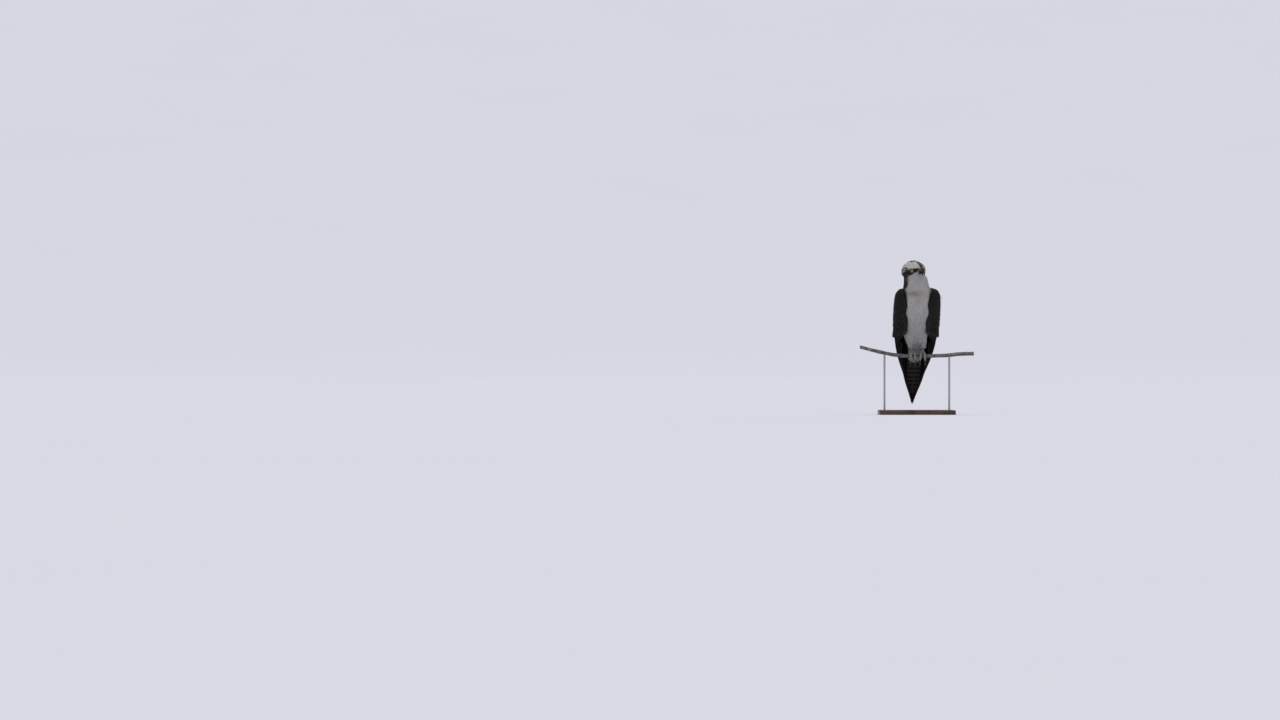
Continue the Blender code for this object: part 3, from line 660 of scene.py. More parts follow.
def tail_face(share, z, depth=0.0):
    """The upper face of the tail, arched within the primaries; share -1 is on the right, 1 on the left."""
    axis, clear = curve(AXIS_Y, z), curve(TAIL_CLEARANCE, z)
    width = curve(PRIMARY_WIDTH, z) - clear
    back = curve(WING_BACK, z) - axis - np.minimum(2 * LAYER_STEP, 0.2 * width) - clear
    x = np.minimum(curve(TAIL_WIDTH, z), width * 0.97) * share
    y = back * (1 - np.minimum(np.abs(x / width), 0.995) ** WING_SHAPE) ** (1 / WING_SHAPE)
    return np.stack([middle_x(z) + x, axis + y - depth, z], -1)


def facing(face, share, z):
    """Points of a face, their outward normals, and metres for each whole share."""
    points = face(share, z)
    across = (face(share + 0.01, z) - face(share - 0.01, z)) / 0.02
    down = face(share, z - 0.001) - face(share, z + 0.001)
    normals = unit(np.cross(across, down))
    outward = ((points - face(share, z, 0.001)) * normals).sum(-1, keepdims=True)
    return points, normals * np.where(outward < 0, -1, 1), np.linalg.norm(across, axis=-1)


# Feathers


def contour_outline(s):
    """Half width of a soft body feather, as a share: widest past the middle, then round."""
    rise = 1 - (1 - np.minimum(s / 0.55, 1)) ** 2 * 0.75
    return rise * np.sqrt(np.clip(1 - (np.maximum(s - 0.55, 0) / 0.47) ** 2, 0, 1))


def quill_outline(s):
    """Half width of a flight feather, as a share: even, with a blunt rounded tip."""
    rise = 0.5 + 0.5 * np.minimum(s / 0.25, 1)
    return rise * np.sqrt(np.clip(1 - (np.maximum(s - 0.80, 0) / 0.205) ** 2, 0, 1))


def stations(rows):
    """Shares of the length at which a vane has its rows, closer towards the tip."""
    return np.linspace(0, 1, rows) ** 0.75


def lay(surface, roots, aim, length, width, lift, rng, rows=5, columns=3, sway=0.10, sink=0.0006,
        camber=0.16, lag=0.12, ragged=0.04):
    """Walks soft vanes over a surface and gives their points as feathers x rows x columns x 3.

    At each row the middle moves on by an equal share of the length the way aim says, turned by the
    feather's own chance. The row reaches half the width times the outline to both sides, lags behind at
    its edges, is dropped on the surface again, and stands off it from -sink at the root to lift at the tip.
    """
    count = len(roots)
    foot, normal, found = surface.settle(roots)
    turn = rng.normal(0, sway, count)[:, None]
    slip = -lag * np.abs(np.linspace(-1, 1, columns)) + rng.normal(0, ragged, (count, columns))
    grid = np.zeros((count, rows, columns, 3))
    barbs = np.zeros((count, rows, columns, 2))
    at = stations(rows)
    for r, s in enumerate(at):
        heading = level_with(aim(foot), normal)
        way = heading * np.cos(turn) + np.cross(heading, normal) * np.sin(turn)
        edge = np.cross(way, normal)
        half = width / 2 * float(contour_outline(np.array(min(s, BLUNT))))
        for c, t in enumerate(np.linspace(-1, 1, columns)):
            forth = slip[:, c] * s * np.minimum(length, 3 * width)
            spot, up, near = surface.settle(foot + edge * (half * t)[:, None] + way * forth[:, None])
            found &= near
            height = (lift + sink) * s**0.6 - sink - camber * half * t * t
            grid[:, r, c] = spot + up * height[:, None]
            barbs[:, r, c, 0] = half * t
            barbs[:, r, c, 1] = s * length
        if r < rows - 1:
            foot, normal, near = surface.settle(foot + way * (length * (at[r + 1] - s))[:, None])
            found &= near
    return grid, barbs, found


def shingle(face, share, z, width, low, high, rng, columns=5, tilt=0.0005, arch=0.05, lag=0.12, ragged=0.01,
            curl=0.0, outline=quill_outline):
    """Lays firm vanes along given lines of a face, as feathers x rows x columns x 3.

    share and z give each vane's middle line. A row reaches half the width times the outline to both sides
    of it, square to the line as measured on the face. It stands off the face by a height that goes from
    low at the root to high at the tip; the edge next to the breast is tilted up, over its neighbour.
    """
    count, rows = z.shape
    s, t = stations(rows)[None, :, None], np.linspace(-1, 1, columns)[None, None]
    spots, _, metres = facing(face, share, z)
    side, down = np.gradient(share, axis=1) * metres, np.gradient(z, axis=1)
    run = np.hypot(side, down)
    side, down = (side / run)[..., None], (down / run)[..., None]
    length = np.linalg.norm(np.diff(spots, axis=1), axis=-1).sum(1)[:, None, None]
    half = np.asarray(width)[:, None, None] / 2 * outline(np.minimum(s, BLUNT))
    slip = -lag * np.abs(t) + rng.normal(0, ragged, (count, 1, columns))
    forth = slip * s**2 * np.minimum(length, 2 * np.asarray(width)[:, None, None])
    offset = half * t
    share = share[..., None] + (side * forth - down * offset) / metres[..., None]
    z = z[..., None] + down * forth + side * offset
    points, normals, _ = facing(face, share, z)
    low, high = (np.asarray(v)[..., None, None] if np.ndim(v) else v for v in (low, high))
    height = low + (high - low) * s**0.8 - tilt * t * s**0.3 - arch * half * t * t + curl * s**6
    barbs = np.stack(np.broadcast_arrays(offset, s * length), -1)
    return points + normals * height[..., None], barbs


def straight(start, end, rows):
    """Each vane's values at its rows, on a straight line from start to end."""
    return start[:, None] + (end - start)[:, None] * stations(rows)


class Coat:
    """Collects laid feathers and joins them into one mesh with what their material reads."""

    def __init__(self):
        self.points, self.tops, self.undersides, self.caps = [], [], [], {}
        self.tone, self.vane, self.mark, self.patch, self.barbs = [], [], [], [], []
        self.start = 0

    def add(self, grid, barbs, tone, mark, root_map, chance, patch=(BAKE_PATCH, BAKE_PATCH)):
        """Closes each vane below with one strip from edge to edge and with a flat face at each end.

        tone is its colour, mark its streak, pale fringe and bars, root_map its place on the map for baking
        and chance a number between -1 and 1.
        """
        count, rows, columns, _ = grid.shape
        index = self.start + np.arange(count * rows * columns).reshape(count, rows, columns)
        top = np.stack([index[:, :-1, :-1], index[:, :-1, 1:], index[:, 1:, 1:], index[:, 1:, :-1]], -1)
        below = np.stack([index[:, :-1, 0], index[:, 1:, 0], index[:, 1:, -1], index[:, :-1, -1]], -1)
        self.tops.append(top.reshape(-1, 4))
        self.undersides.append(below.reshape(-1, 4))
        self.caps.setdefault(columns, []).extend([index[:, 0, ::-1], index[:, -1]])
        self.points.append(grid.reshape(-1, 3))
        s, t = np.meshgrid(stations(rows), np.linspace(-1, 1, columns), indexing="ij")
        every = np.ones((count, rows, columns))
        shade = every * (chance * 0.5 + 0.5)[:, None, None]
        self.vane.append(np.stack([every * t, every * s, shade], -1).reshape(-1, 3))
        self.tone.append(np.repeat(opaque(tone), rows * columns, 0))
        self.mark.append(np.repeat(mark, rows * columns, 0))
        local = np.stack([every * t / 2 * patch[0], every * (s - 0.5) * patch[1]], -1)
        self.patch.append((root_map[:, None, None] + local).reshape(-1, 2))
        self.barbs.append(barbs.reshape(-1, 2) * 100)
        self.start += index.size

    def join(self, name, slot, *nodes):
        """Makes the piece, with each vane's upper side smooth."""
        caps = [np.concatenate(group) for group in self.caps.values()]
        tops = np.concatenate(self.tops)
        piece = add_mesh(name, np.concatenate(self.points), tops, np.concatenate(self.undersides), *caps,
                         smooth=len(tops))
        mesh = piece.data
        write(mesh, "tone", np.concatenate(self.tone))
        write(mesh, "vane", np.concatenate(self.vane))
        write(mesh, "mark", np.concatenate(self.mark))
        corners = np.empty(len(mesh.loops), np.int32)
        mesh.loops.foreach_get("vertex_index", corners)
        for title, values in (("OFBake", self.patch), ("Barbs", self.barbs)):
            mapped = np.concatenate(values)[corners]
            mesh.uv_layers.new(name=title).uv.foreach_set("vector", mapped.astype(np.float32).ravel())
        place_piece(piece, name, feather_material(), slot, *nodes)


def sow(mesh, spacing, rng, keep):
    """Roots spread over a mesh: chance points of its triangles, thinned to one for each cell.

    spacing gives the wanted gap at each point and keep says where roots may be. The gaps are taken to
    the nearest of a few sizes, and each size has cells of its own.
    """
    points, _ = read(mesh)
    corners = points[triangles(mesh)]
    area = np.linalg.norm(np.cross(corners[:, 1] - corners[:, 0], corners[:, 2] - corners[:, 0]), axis=1) / 2
    picked = rng.choice(len(area), SEED_COUNT, p=area / area.sum())
    a, b = rng.random((2, len(picked)))
    fold = a + b > 1
    a, b = np.where(fold, 1 - a, a), np.where(fold, 1 - b, b)
    tri = corners[picked]
    seeds = tri[:, 0] + (tri[:, 1] - tri[:, 0]) * a[:, None] + (tri[:, 2] - tri[:, 0]) * b[:, None]
    seeds = seeds[keep(seeds)]
    wanted = spacing(seeds)
    sizes = 0.0009 * 1.2 ** np.arange(12)
    nearest = np.abs(np.log(wanted)[:, None] - np.log(sizes)[None]).argmin(1)
    roots = []
    for k, size in enumerate(sizes):
        mine = seeds[nearest == k]
        if len(mine):
            _, first = np.unique(np.floor(mine / size + 0.37).astype(int), axis=0, return_index=True)
            roots.append(mine[first])
    return np.concatenate(roots)


# Materials


class Socket:
    """An output of a node. Arithmetic on it adds Math nodes."""

    def __init__(self, shader, output):
        self.shader, self.output = shader, output

    def math(self, operation, *values):
        return self.shader.add("Math", {"operation": operation}, dict(enumerate(values)))

    def __add__(self, other):
        return self.math("ADD", self, other)

    def __sub__(self, other):
        return self.math("SUBTRACT", self, other)

    def __rsub__(self, other):
        return self.math("SUBTRACT", other, self)

    def __mul__(self, other):
        return self.math("MULTIPLY", self, other)

    __radd__ = __add__
    __rmul__ = __mul__

    def __abs__(self):
        return self.math("ABSOLUTE", self)

    def sine(self):
        return self.math("SINE", self)

    def power(self, exponent):
        return self.math("POWER", self, exponent)

    def ramp(self, low, high):
        """0 below low and 1 above high, with a smooth step between."""
        return self.shader.add("MapRange", {"interpolation_type": "SMOOTHSTEP"}, {0: self, 1: low, 2: high})


class Shader:
    """One material and its nodes."""

    def __init__(self, name):
        self.material = bpy.data.materials.new(name)
        self.material.use_nodes = True
        self.tree = self.material.node_tree
        self.principled = self.tree.nodes["Principled BSDF"]

    def add(self, kind, settings=None, sockets=None, out=0):
        """A node of a type, with its settings first and then the values or links of its sockets."""
        node = self.tree.nodes.new("ShaderNode" + kind)
        for key, value in (settings or {}).items():
            setattr(node, key, value)
        for key, value in (sockets or {}).items():
            self.feed(node.inputs[key], value)
        return Socket(self, node.outputs[out])

    def feed(self, target, value):
        if isinstance(value, Socket):
            self.tree.links.new(value.output, target)
        elif target.type == "RGBA" and len(value) == 3:
            target.default_value = (*value, 1)
        else:
            target.default_value = value

    def mix(self, share, first, second):
        """From the first colour to the second."""
        return self.add("Mix", {"data_type": "RGBA"}, {0: share, 6: first, 7: second}, 2)

    def tint(self, colour, strength):
        """The colour times a number."""
        return self.add("VectorMath", {"operation": "SCALE"}, {0: colour, 3: strength})

    def attribute(self, name, out="Color"):
        return self.add("Attribute", {"attribute_name": name}, None, out)

    def parts(self, vector):
        node = self.add("SeparateXYZ", None, {0: vector})
        return [Socket(self, output) for output in node.output.node.outputs]

    def position(self, scale=(1, 1, 1)):
        """Object coordinates, stretched."""
        place = self.add("TexCoord", None, None, "Object")
        return self.add("Mapping", None, {0: place, 3: scale})

    def noise(self, vector, scale, detail=3.0, roughness=0.5):
        return self.add("TexNoise", None, {"Vector": vector, "Scale": scale, "Detail": detail,
                                           "Roughness": roughness})

    def bump(self, height, distance, strength=1.0):
        return self.add("Bump", None, {"Height": height, "Distance": distance, "Strength": strength})

    def finish(self, colour, roughness, normal=None, **numbers):
        """Feeds the surface; numbers are the same all over it."""
        self.feed(self.principled.inputs["Base Color"], colour)
        self.feed(self.principled.inputs["Roughness"], roughness)
        if normal:
            self.feed(self.principled.inputs["Normal"], normal)
        for key, value in numbers.items():
            self.principled.inputs[key.replace("_", " ")].default_value = value
        return self.material


@cache
def feather_material():
    """Vanes: the plumage's tone, a shaft, fine slanting barbs, streaks, bars and paler edges."""
    shader = Shader("feather_vanes")
    plumage = bpy.context.scene.osprey_plumage
    across, along, chance = shader.parts(shader.attribute("vane", "Vector"))
    streak, fringe, bars = shader.parts(shader.attribute("mark", "Vector"))
    aside, down, _ = shader.parts(shader.add("UVMap", {"uv_map": "Barbs"}))
    colour = shader.tint(shader.attribute("tone"), 0.90 + 0.2 * chance)
    barb = ((down - abs(aside) * 0.9) * (2 * math.pi / 0.042)).sine()
    cloud = shader.noise(shader.position(), 55.0)
    colour = shader.tint(colour, 0.90 + 0.16 * cloud + 0.03 * barb)
    width = abs(across)
    edge = (width + along.power(6.0) * 0.8).ramp(0.70, 1.02) * fringe
    colour = shader.mix(edge, colour, (0.085, 0.067, 0.056))
    shade = (1 - width.ramp(0.15, 0.75)) * along.ramp(0.15, 0.5) * streak
    colour = shader.mix(shade, colour, plumage.dark[:])
    # Bars and tip of the tail take the dim tail bar colour: painted shade of the tail's underside
    bar = ((down * (2 * math.pi / 1.75)).sine() + cloud * 0.5).ramp(0.25, 0.6) * along.ramp(0.12, 0.3)
    tip = along.ramp(0.955, 0.975)
    colour = shader.mix((bar * 0.85 + tip) * bars, colour, plumage.tail_bar[:])
    shaft = (1 - width.ramp(0.03, 0.09)) * (1 - along.ramp(0.6, 0.95))
    colour = shader.mix(shaft * 0.20, colour, (0.07, 0.058, 0.05))
    height = barb * 0.4 + shaft * 2.0
    rough = 0.58 + 0.10 * cloud
    return shader.finish(colour, rough, shader.bump(height, 0.00004, 0.5),
                         Sheen_Weight=0.01, Sheen_Roughness=0.5, Specular_IOR_Level=0.10)


@cache
def skin_material():
    """Skin: the plumage's tone under the feathers, and small round scales on the bare legs."""
    shader = Shader("bird_skin")
    head = bpy.context.scene.osprey_head
    bare = shader.attribute("bare", "Fac")
    cells = shader.add("TexVoronoi", {"feature": "DISTANCE_TO_EDGE"},
                       {"Vector": shader.position((0.7, 1, 1.2)), "Scale": 900.0, "Randomness": 0.7})
    groove = cells.ramp(0.0, 0.22)
    blotch = shader.noise(shader.position(), 140.0)
    leg = shader.mix(blotch * 0.7, head.leg[:], (0.30, 0.30, 0.26))
    leg = shader.mix((1 - groove) * 0.6, leg, (0.18, 0.18, 0.16))
    coat = shader.tint(shader.attribute("tone"), 0.65 + 0.2 * blotch)
    colour = shader.mix(bare, coat, leg)
    normal = shader.bump(groove * bare + 0.3 * blotch, 0.0005, 0.8)
    return shader.finish(colour, 0.85 - 0.35 * bare, normal)


@cache
def bill_material():
    """Horn: black, with the soft blue-grey cere at its root and faint growth lines."""
    shader = Shader("bill_horn")
    head = bpy.context.scene.osprey_head
    soft = shader.attribute("soft", "Fac")
    pit = shader.attribute("pit", "Fac")
    cloud = shader.noise(shader.position(), 240.0, 4.0)
    grain = shader.noise(shader.position((1, 1, 0.25)), 900.0, 2.0)
    colour = shader.mix(soft, head.horn[:], head.cere[:])
    colour = shader.tint(colour, 0.75 + 0.5 * cloud)
    # The nostril slit is painted near black: painted shade inside the opening
    colour = shader.mix(pit, colour, (0.004, 0.004, 0.004))
    rough = 0.30 + 0.22 * soft + 0.12 * grain
    return shader.finish(colour, rough, shader.bump(cloud * 0.6 + grain * 0.4, 0.00012, 0.6),
                         Specular_IOR_Level=0.3)


@cache
def claw_material():
    """Claws: smooth black horn with lines along them."""
    shader = Shader("claw_horn")
    head = bpy.context.scene.osprey_head
    grain = shader.noise(shader.position((1, 1, 0.3)), 700.0, 3.0)
    cloud = shader.noise(shader.position(), 120.0)
    colour = shader.mix(cloud * 0.5, head.horn[:], (0.045, 0.040, 0.036))
    return shader.finish(colour, 0.22 + 0.2 * grain, shader.bump(grain, 0.00008, 0.5))


@cache
def eye_material():
    """Eye: black pupil, a yellow iris with fine spokes and a dark rim, under a clear wet coat."""
    shader = Shader("eye_wet")
    head = bpy.context.scene.osprey_head
    ring = shader.attribute("ring", "Fac")
    spokes = shader.noise(shader.attribute("spokes", "Vector"), 5.0, 4.0, 0.7)
    colour = shader.mix(spokes.ramp(0.35, 0.75), head.iris[:], (0.55, 0.26, 0.01))
    colour = shader.mix(ring.ramp(0.70, 0.78), colour, (0.05, 0.025, 0.008))
    colour = shader.mix(1 - ring.ramp(0.415, 0.435), colour, (0.002, 0.002, 0.002))
    return shader.finish(colour, 0.12 + 0.1 * spokes, None, Coat_Weight=1.0, Coat_Roughness=0.02,
                         Coat_IOR=1.38)


@cache
def lid_material():
    """Lids: thin blue-grey skin with fine folds round the eye."""
    shader = Shader("eye_lids")
    fold = shader.attribute("fold", "Fac")
    cloud = shader.noise(shader.position(), 500.0, 4.0)
    lines = (fold * 34.0 + cloud * 3.0).sine()
    colour = shader.mix(cloud, (0.014, 0.014, 0.016), (0.042, 0.044, 0.050))
    return shader.finish(colour, 0.42 + 0.2 * cloud, shader.bump(lines * 0.5 + cloud, 0.00015, 0.8))


@cache
def bark_material():
    """Bark: weathered grey with long cracks, knots and a dusting of pale lichen; the cut ends are wood."""
    shader = Shader("bark")
    stand = bpy.context.scene.osprey_stand
    end = shader.attribute("end", "Fac")
    rings = shader.attribute("rings", "Fac")
    long = shader.noise(shader.position((0.22, 1, 1)), 260.0, 5.0, 0.62)
    cloud = shader.noise(shader.position(), 46.0, 4.0)
    crack = 1 - long.ramp(0.36, 0.46)
    bark = shader.mix(long.ramp(0.4, 0.75), stand.bark[:], (0.30, 0.28, 0.27))
    # The cracks are painted dark: painted shade in the fissures of the bark
    bark = shader.mix(crack, bark, (0.035, 0.03, 0.027))
    bark = shader.mix(cloud.ramp(0.56, 0.68) * 0.55, bark, (0.36, 0.38, 0.34))
    year = (rings * (2 * math.pi * 6.5) + cloud * 2.0).sine()
    wood = shader.mix(year.ramp(-0.6, 0.9), (0.40, 0.29, 0.19), (0.27, 0.18, 0.11))
    colour = shader.mix(end, bark, wood)
    height = long * (1 - end) + year * end * 0.1
    return shader.finish(colour, 0.78 + 0.12 * long, shader.bump(height, 0.0012, 0.9))


@cache
def wood_material():
    """Base: dark stained wood, its grain running along X, under a satin varnish."""
    shader = Shader("stained_wood")
    stand = bpy.context.scene.osprey_stand
    sway = shader.noise(shader.position((1, 2.2, 2.2)), 3.0, 2.0)
    grain = shader.noise(shader.position((0.9, 9, 9)), 9.0, 6.0, 0.6)
    pores = shader.noise(shader.position((0.05, 1, 1)), 900.0, 2.0)
    bands = ((grain * 5.0 + sway * 14.0) * 2.2).sine()
    colour = shader.mix(bands.ramp(-0.8, 1.0), stand.wood[:], (0.055, 0.028, 0.016))
    colour = shader.mix((1 - pores.ramp(0.34, 0.46)) * 0.6, colour, (0.020, 0.011, 0.007))
    return shader.finish(colour, 0.34 + 0.14 * grain, shader.bump(bands * 0.3 + pores, 0.00018, 0.5),
                         Coat_Roughness=0.25)


@cache
def steel_material():
    """Rods: satin steel with faint rings from turning."""
    shader = Shader("satin_steel")
    stand = bpy.context.scene.osprey_stand
    turned = shader.noise(shader.position((1, 1, 40)), 60.0, 2.0)
    cloud = shader.noise(shader.position(), 35.0)
    colour = shader.mix(cloud * 0.6, stand.steel[:], (0.38, 0.38, 0.40))
    return shader.finish(colour, 0.28 + 0.14 * turned, shader.bump(turned, 0.00005, 0.6), Metallic=1.0)


@cache
def paper_material():
    """Floor and backdrop: pale lavender-grey studio paper with a slight tooth."""
    shader = Shader("studio_paper")
    stage = bpy.context.scene.osprey_stage
    cloud = shader.noise(shader.position(), 0.6, 2.0)
    tooth = shader.noise(shader.position(), 900.0, 2.0)
    colour = shader.tint(stage.paper[:], 0.985 + 0.03 * cloud)
    return shader.finish(colour, 1.0, shader.bump(tooth, 0.0002, 0.1), Specular_IOR_Level=0.0)


# Pieces


def flesh_nodes():
    """The CAD nodes that the one skin replaces."""
    names = ["head", "neck", "trunk"]
    for side in SIDES:
        names += ["thigh_" + side, "tarsus_" + side]
        names += ["toe_%s_%s" % (toe, side) for toe in ("inner", "middle", "outer", "hind")]
    return names


def bareness(points):
    """1 on the naked legs and toes, 0 under the plumage."""
    return ease(0.272, 0.266, points[:, 2]) * ease(0.010, 0.002, points[:, 1])


def coat_depth(points):
    """How deep the skin lies inside the outline: shallow on the face and at the eyes, none on the legs."""
    gap = from_bill(points)
    depth = 0.0012 + 0.0018 * ease(0.014, 0.040, gap) + 0.0010 * ease(0.050, 0.100, gap)
    depth = depth + 0.0026 * ease(0.022, 0.034, in_head(points)[2])
    z = points[:, 2]
    aside = np.abs(off_middle(points)) - curve(BREAST_EDGE, z)
    depth = depth + 0.0050 * ease(-0.002, 0.010, aside) * np.exp(-(((z - 0.312) / 0.020) ** 2))
    for eye in EYES.values():
        depth = np.minimum(depth, 0.0007 + 0.0022 * ease(0.009, 0.018, np.linalg.norm(points - eye, axis=1)))
    return depth * (1 - bareness(points))


def brow(points):
    """A ridge over each eye, lower towards the bill, and a hollow before it, as height over the face."""
    forward, aside, up = in_head(points)
    aside = np.abs(aside)
    line = 0.0088 - 0.20 * (forward - 0.014)
    ridge = np.exp(-(((forward - 0.016) / 0.012) ** 2) - ((up - line) / 0.0034) ** 2)
    hollow = np.exp(-(((forward - 0.028) / 0.006) ** 2) - ((up + 0.003) / 0.007) ** 2)
    return (0.0032 * ridge - 0.0022 * hollow) * ease(0.009, 0.018, aside)


def make_skin():
    """One closed skin, evened out where the solids meet, then sunk by the depth of the coat."""
    swelling = {node: BODY_SWELL if node.split("_")[0] in ("head", "neck", "trunk", "thigh") else LEG_SWELL
                for node in flesh_nodes()}
    mesh = one_hide("skin", swelling, HIDE_SQUARE)
    points, _ = read(mesh)
    swell = LEG_SWELL + (BODY_SWELL - LEG_SWELL) * ease(0.2665, 0.2700, points[:, 2])
    neck = ease(0.488, 0.504, points[:, 2]) * ease(0.572, 0.556, points[:, 2])
    set_points(mesh, relaxed(mesh, points, 0.01 + 0.42 * neck + 0.20 * ease(0.262, 0.290, points[:, 2]), 50))
    points, normals = read(mesh)
    points = points + normals * (brow(points) - coat_depth(points) - swell)[:, None]
    set_points(mesh, points)
    write(mesh, "tone", opaque(tones(points, ripple(points, 0.01, 9) * 0.3)))
    write(mesh, "bare", bareness(points))
    place_piece(object_of(mesh, "skin"), "skin", skin_material(), "plumage_white", *flesh_nodes())


def clear_of_face(grid):
    """Whether no point of a vane lies over an eye or inside the bill."""
    points = grid.reshape(-1, 3)
    clear = np.ones(len(points), bool)
    for side, eye in EYES.items():
        apart = points - eye
        gap = np.linalg.norm(apart, axis=1)
        clear &= ~((gap < EYE_RADIUS + 0.0060) & ((apart @ gaze_of(side)) > gap * 0.66))
    forward, aside, up = in_head(points)
    start, half_width, foot, top = BILL_BOX
    clear &= ~((forward > start) & (np.abs(aside) < half_width) & (up < top) & (up > foot))
    return clear.reshape(grid.shape[:3]).all((1, 2))


def gaze_of(side):
    """Each eye looks aside and forward."""
    return unit(ASIDE * SIDES[side] * math.cos(GAZE) + AHEAD * math.sin(GAZE))


def body_map(points):
    """Unwrap of the body: its turn round the axis, and height."""
    low, high = 0.235, 0.56
    turn = round_body(points) / (2 * math.pi)
    return np.stack([0.5 + turn * 0.98, 0.01 + 0.98 * (points[:, 2] - low) / (high - low)], 1)


def head_map(points):
    """Unwrap of the head from its crown: direction round it, and angle down from the top."""
    apart = unit(points - HEAD)
    down = np.arccos(np.clip(apart[:, 2], -1, 1)) / math.pi
    turn = np.arctan2(apart[:, 1], apart[:, 0])
    return 0.5 + 0.49 * down[:, None] * np.stack([np.cos(turn), np.sin(turn)], 1)


def plume_length(points):
    """Length of the plumage at each point: by the distance from the bill, less at eyes, knees and shanks."""
    length = curve(((0.008, 0.0030), (0.020, 0.0044), (0.040, 0.0072), (0.062, 0.0105), (0.085, 0.0150),
                    (0.120, 0.0190), (0.180, 0.0225)), from_bill(points))
    for eye in EYES.values():
        near = np.linalg.norm(points - eye, axis=1)
        length = np.minimum(length, 0.0030 + 0.40 * np.maximum(near - 0.009, 0))
    forward, _, up = in_head(points)
    length = length * (1 + 0.55 * ease(-0.026, -0.046, forward) * ease(-0.065, -0.030, up))
    legs = ease(0.305, 0.268, points[:, 2]) * ease(0.012, 0.000, points[:, 1])
    return length * (1 - 0.58 * legs)


def uncovered(points):
    """Where the folded wings don't hide the trunk."""
    z = points[:, 2]
    aside = np.abs(off_middle(points))
    front = points[:, 1] < curve(AXIS_Y, z)
    margin = np.where(front, curve(BREAST_EDGE, z) + 0.014, curve(BACK_EDGE, z) + 0.016)
    return (aside < margin) | (z > BREAST_TOP) | ((z < 0.300) & front)


def loose(points, chance):
    """How far feathers stand out, each only by chance: on the crown, on the nape and at the head's sides."""
    forward, aside, up = in_head(points)
    gap = np.linalg.norm(points - HEAD, axis=1)
    crest = ease(0.020, 0.032, up) * ease(0.2, 0.9, np.sin(chance * 33.0))
    nape = ease(-0.028, -0.046, forward) * ease(-0.3, 0.8, np.sin(chance * 21.0)) * ease(0.085, 0.060, gap)
    left = ease(0.014, 0.026, aside) * ease(-0.016, 0.000, up) * ease(0.026, 0.010, forward)
    right = ease(-0.022, -0.032, aside) * ease(-0.010, 0.004, up) * ease(0.010, -0.010, forward)
    return crest, nape, np.maximum(left, right) * ease(-0.2, 0.9, np.sin(chance * 27.0))


def make_body_coat():
    """Soft plumage of head, neck, breast, mantle and legs, laid in one go and parted into pieces.

    A feather's gap to the next is a fifth of its length, its width under half of it. Its tip is lifted by
    about half the coat's depth, so that the coat ends at the outline of the solids.
    """
    settings = bpy.context.scene.osprey_plumage
    rng = np.random.default_rng(settings.seed)
    skin = bpy.data.objects["skin"].data
    surface = Surface(*read(skin))
    roots = sow(skin, lambda p: settings.spacing * np.minimum(0.19 * plume_length(p), 0.0037), rng,
                lambda p: uncovered(p) & (bareness(p) < 0.5) & (p[:, 2] > 0.238))
    chance = rng.uniform(-1, 1, len(roots))
    crest, nape, ruffle = loose(roots, chance)
    long = plume_length(roots) * (1 + 0.16 * chance + 0.30 * crest + 0.35 * nape + 0.40 * ruffle)
    lift = coat_depth(roots) * (0.52 + 0.12 * rng.random(len(roots))) + 0.0002
    lift = lift + 0.0034 * crest + 0.0026 * nape + 0.0036 * ruffle
    wide = long * (0.44 - 0.02 * ease(0.012, 0.020, long))
    tone = tones(roots, chance)
    dark = tone[:, 0] < 0.15
    mark = np.stack([streaking(roots, chance) * ~dark, dark * 0.35, np.zeros(len(roots))], 1)
    forward, aside, _ = in_head(roots)
    on_head = np.linalg.norm(roots - HEAD, axis=1) < HEAD_REACH
    on_face, z = forward > 0.002, roots[:, 2]
    parts = (("face_feathers_right", on_head & on_face & (aside < 0), head_map, 5, 3, 0.24),
             ("face_feathers_left", on_head & on_face & (aside >= 0), head_map, 5, 3, 0.24),
             ("head_feathers", on_head & ~on_face, head_map, 6, 3, 0.24),
             ("neck_feathers", ~on_head & (z > BREAST_TOP), body_map, 6, 5, 0.10),
             ("breast_feathers", ~on_head & (z > BELLY_TOP) & (z <= BREAST_TOP), body_map, 6, 5, 0.10),
             ("belly_feathers", ~on_head & (z <= BELLY_TOP), body_map, 6, 5, 0.10))
    for name, mine, unwrap, rows, columns, lag in parts:
        grid, barbs, found = lay(surface, roots[mine], lie, long[mine], wide[mine], lift[mine], rng,
                                 rows=rows, columns=columns, sway=0.08, camber=0.12, lag=lag, ragged=0.02)
        keep = found & clear_of_face(grid)
        coat = Coat()
        coat.add(grid[keep], barbs[keep], tone[mine][keep], mark[mine][keep], unwrap(roots[mine])[keep],
                 chance[mine][keep])
        coat.join(name, "plumage_white")


def vent_surface():
    """The slope that the feathers under the tail lie on: from between the legs back to the tail."""
    x, z = np.meshgrid(np.linspace(-0.032, 0.032, 40), np.linspace(0.140, 0.272, 90))
    points = np.stack([x + middle_x(z), curve(VENT_SLOPE, z) + 7.0 * x**2, z], -1)
    across = np.gradient(points, axis=1)
    along = np.gradient(points, axis=0)
    return Surface(points.reshape(-1, 3), unit(np.cross(across, along)).reshape(-1, 3))


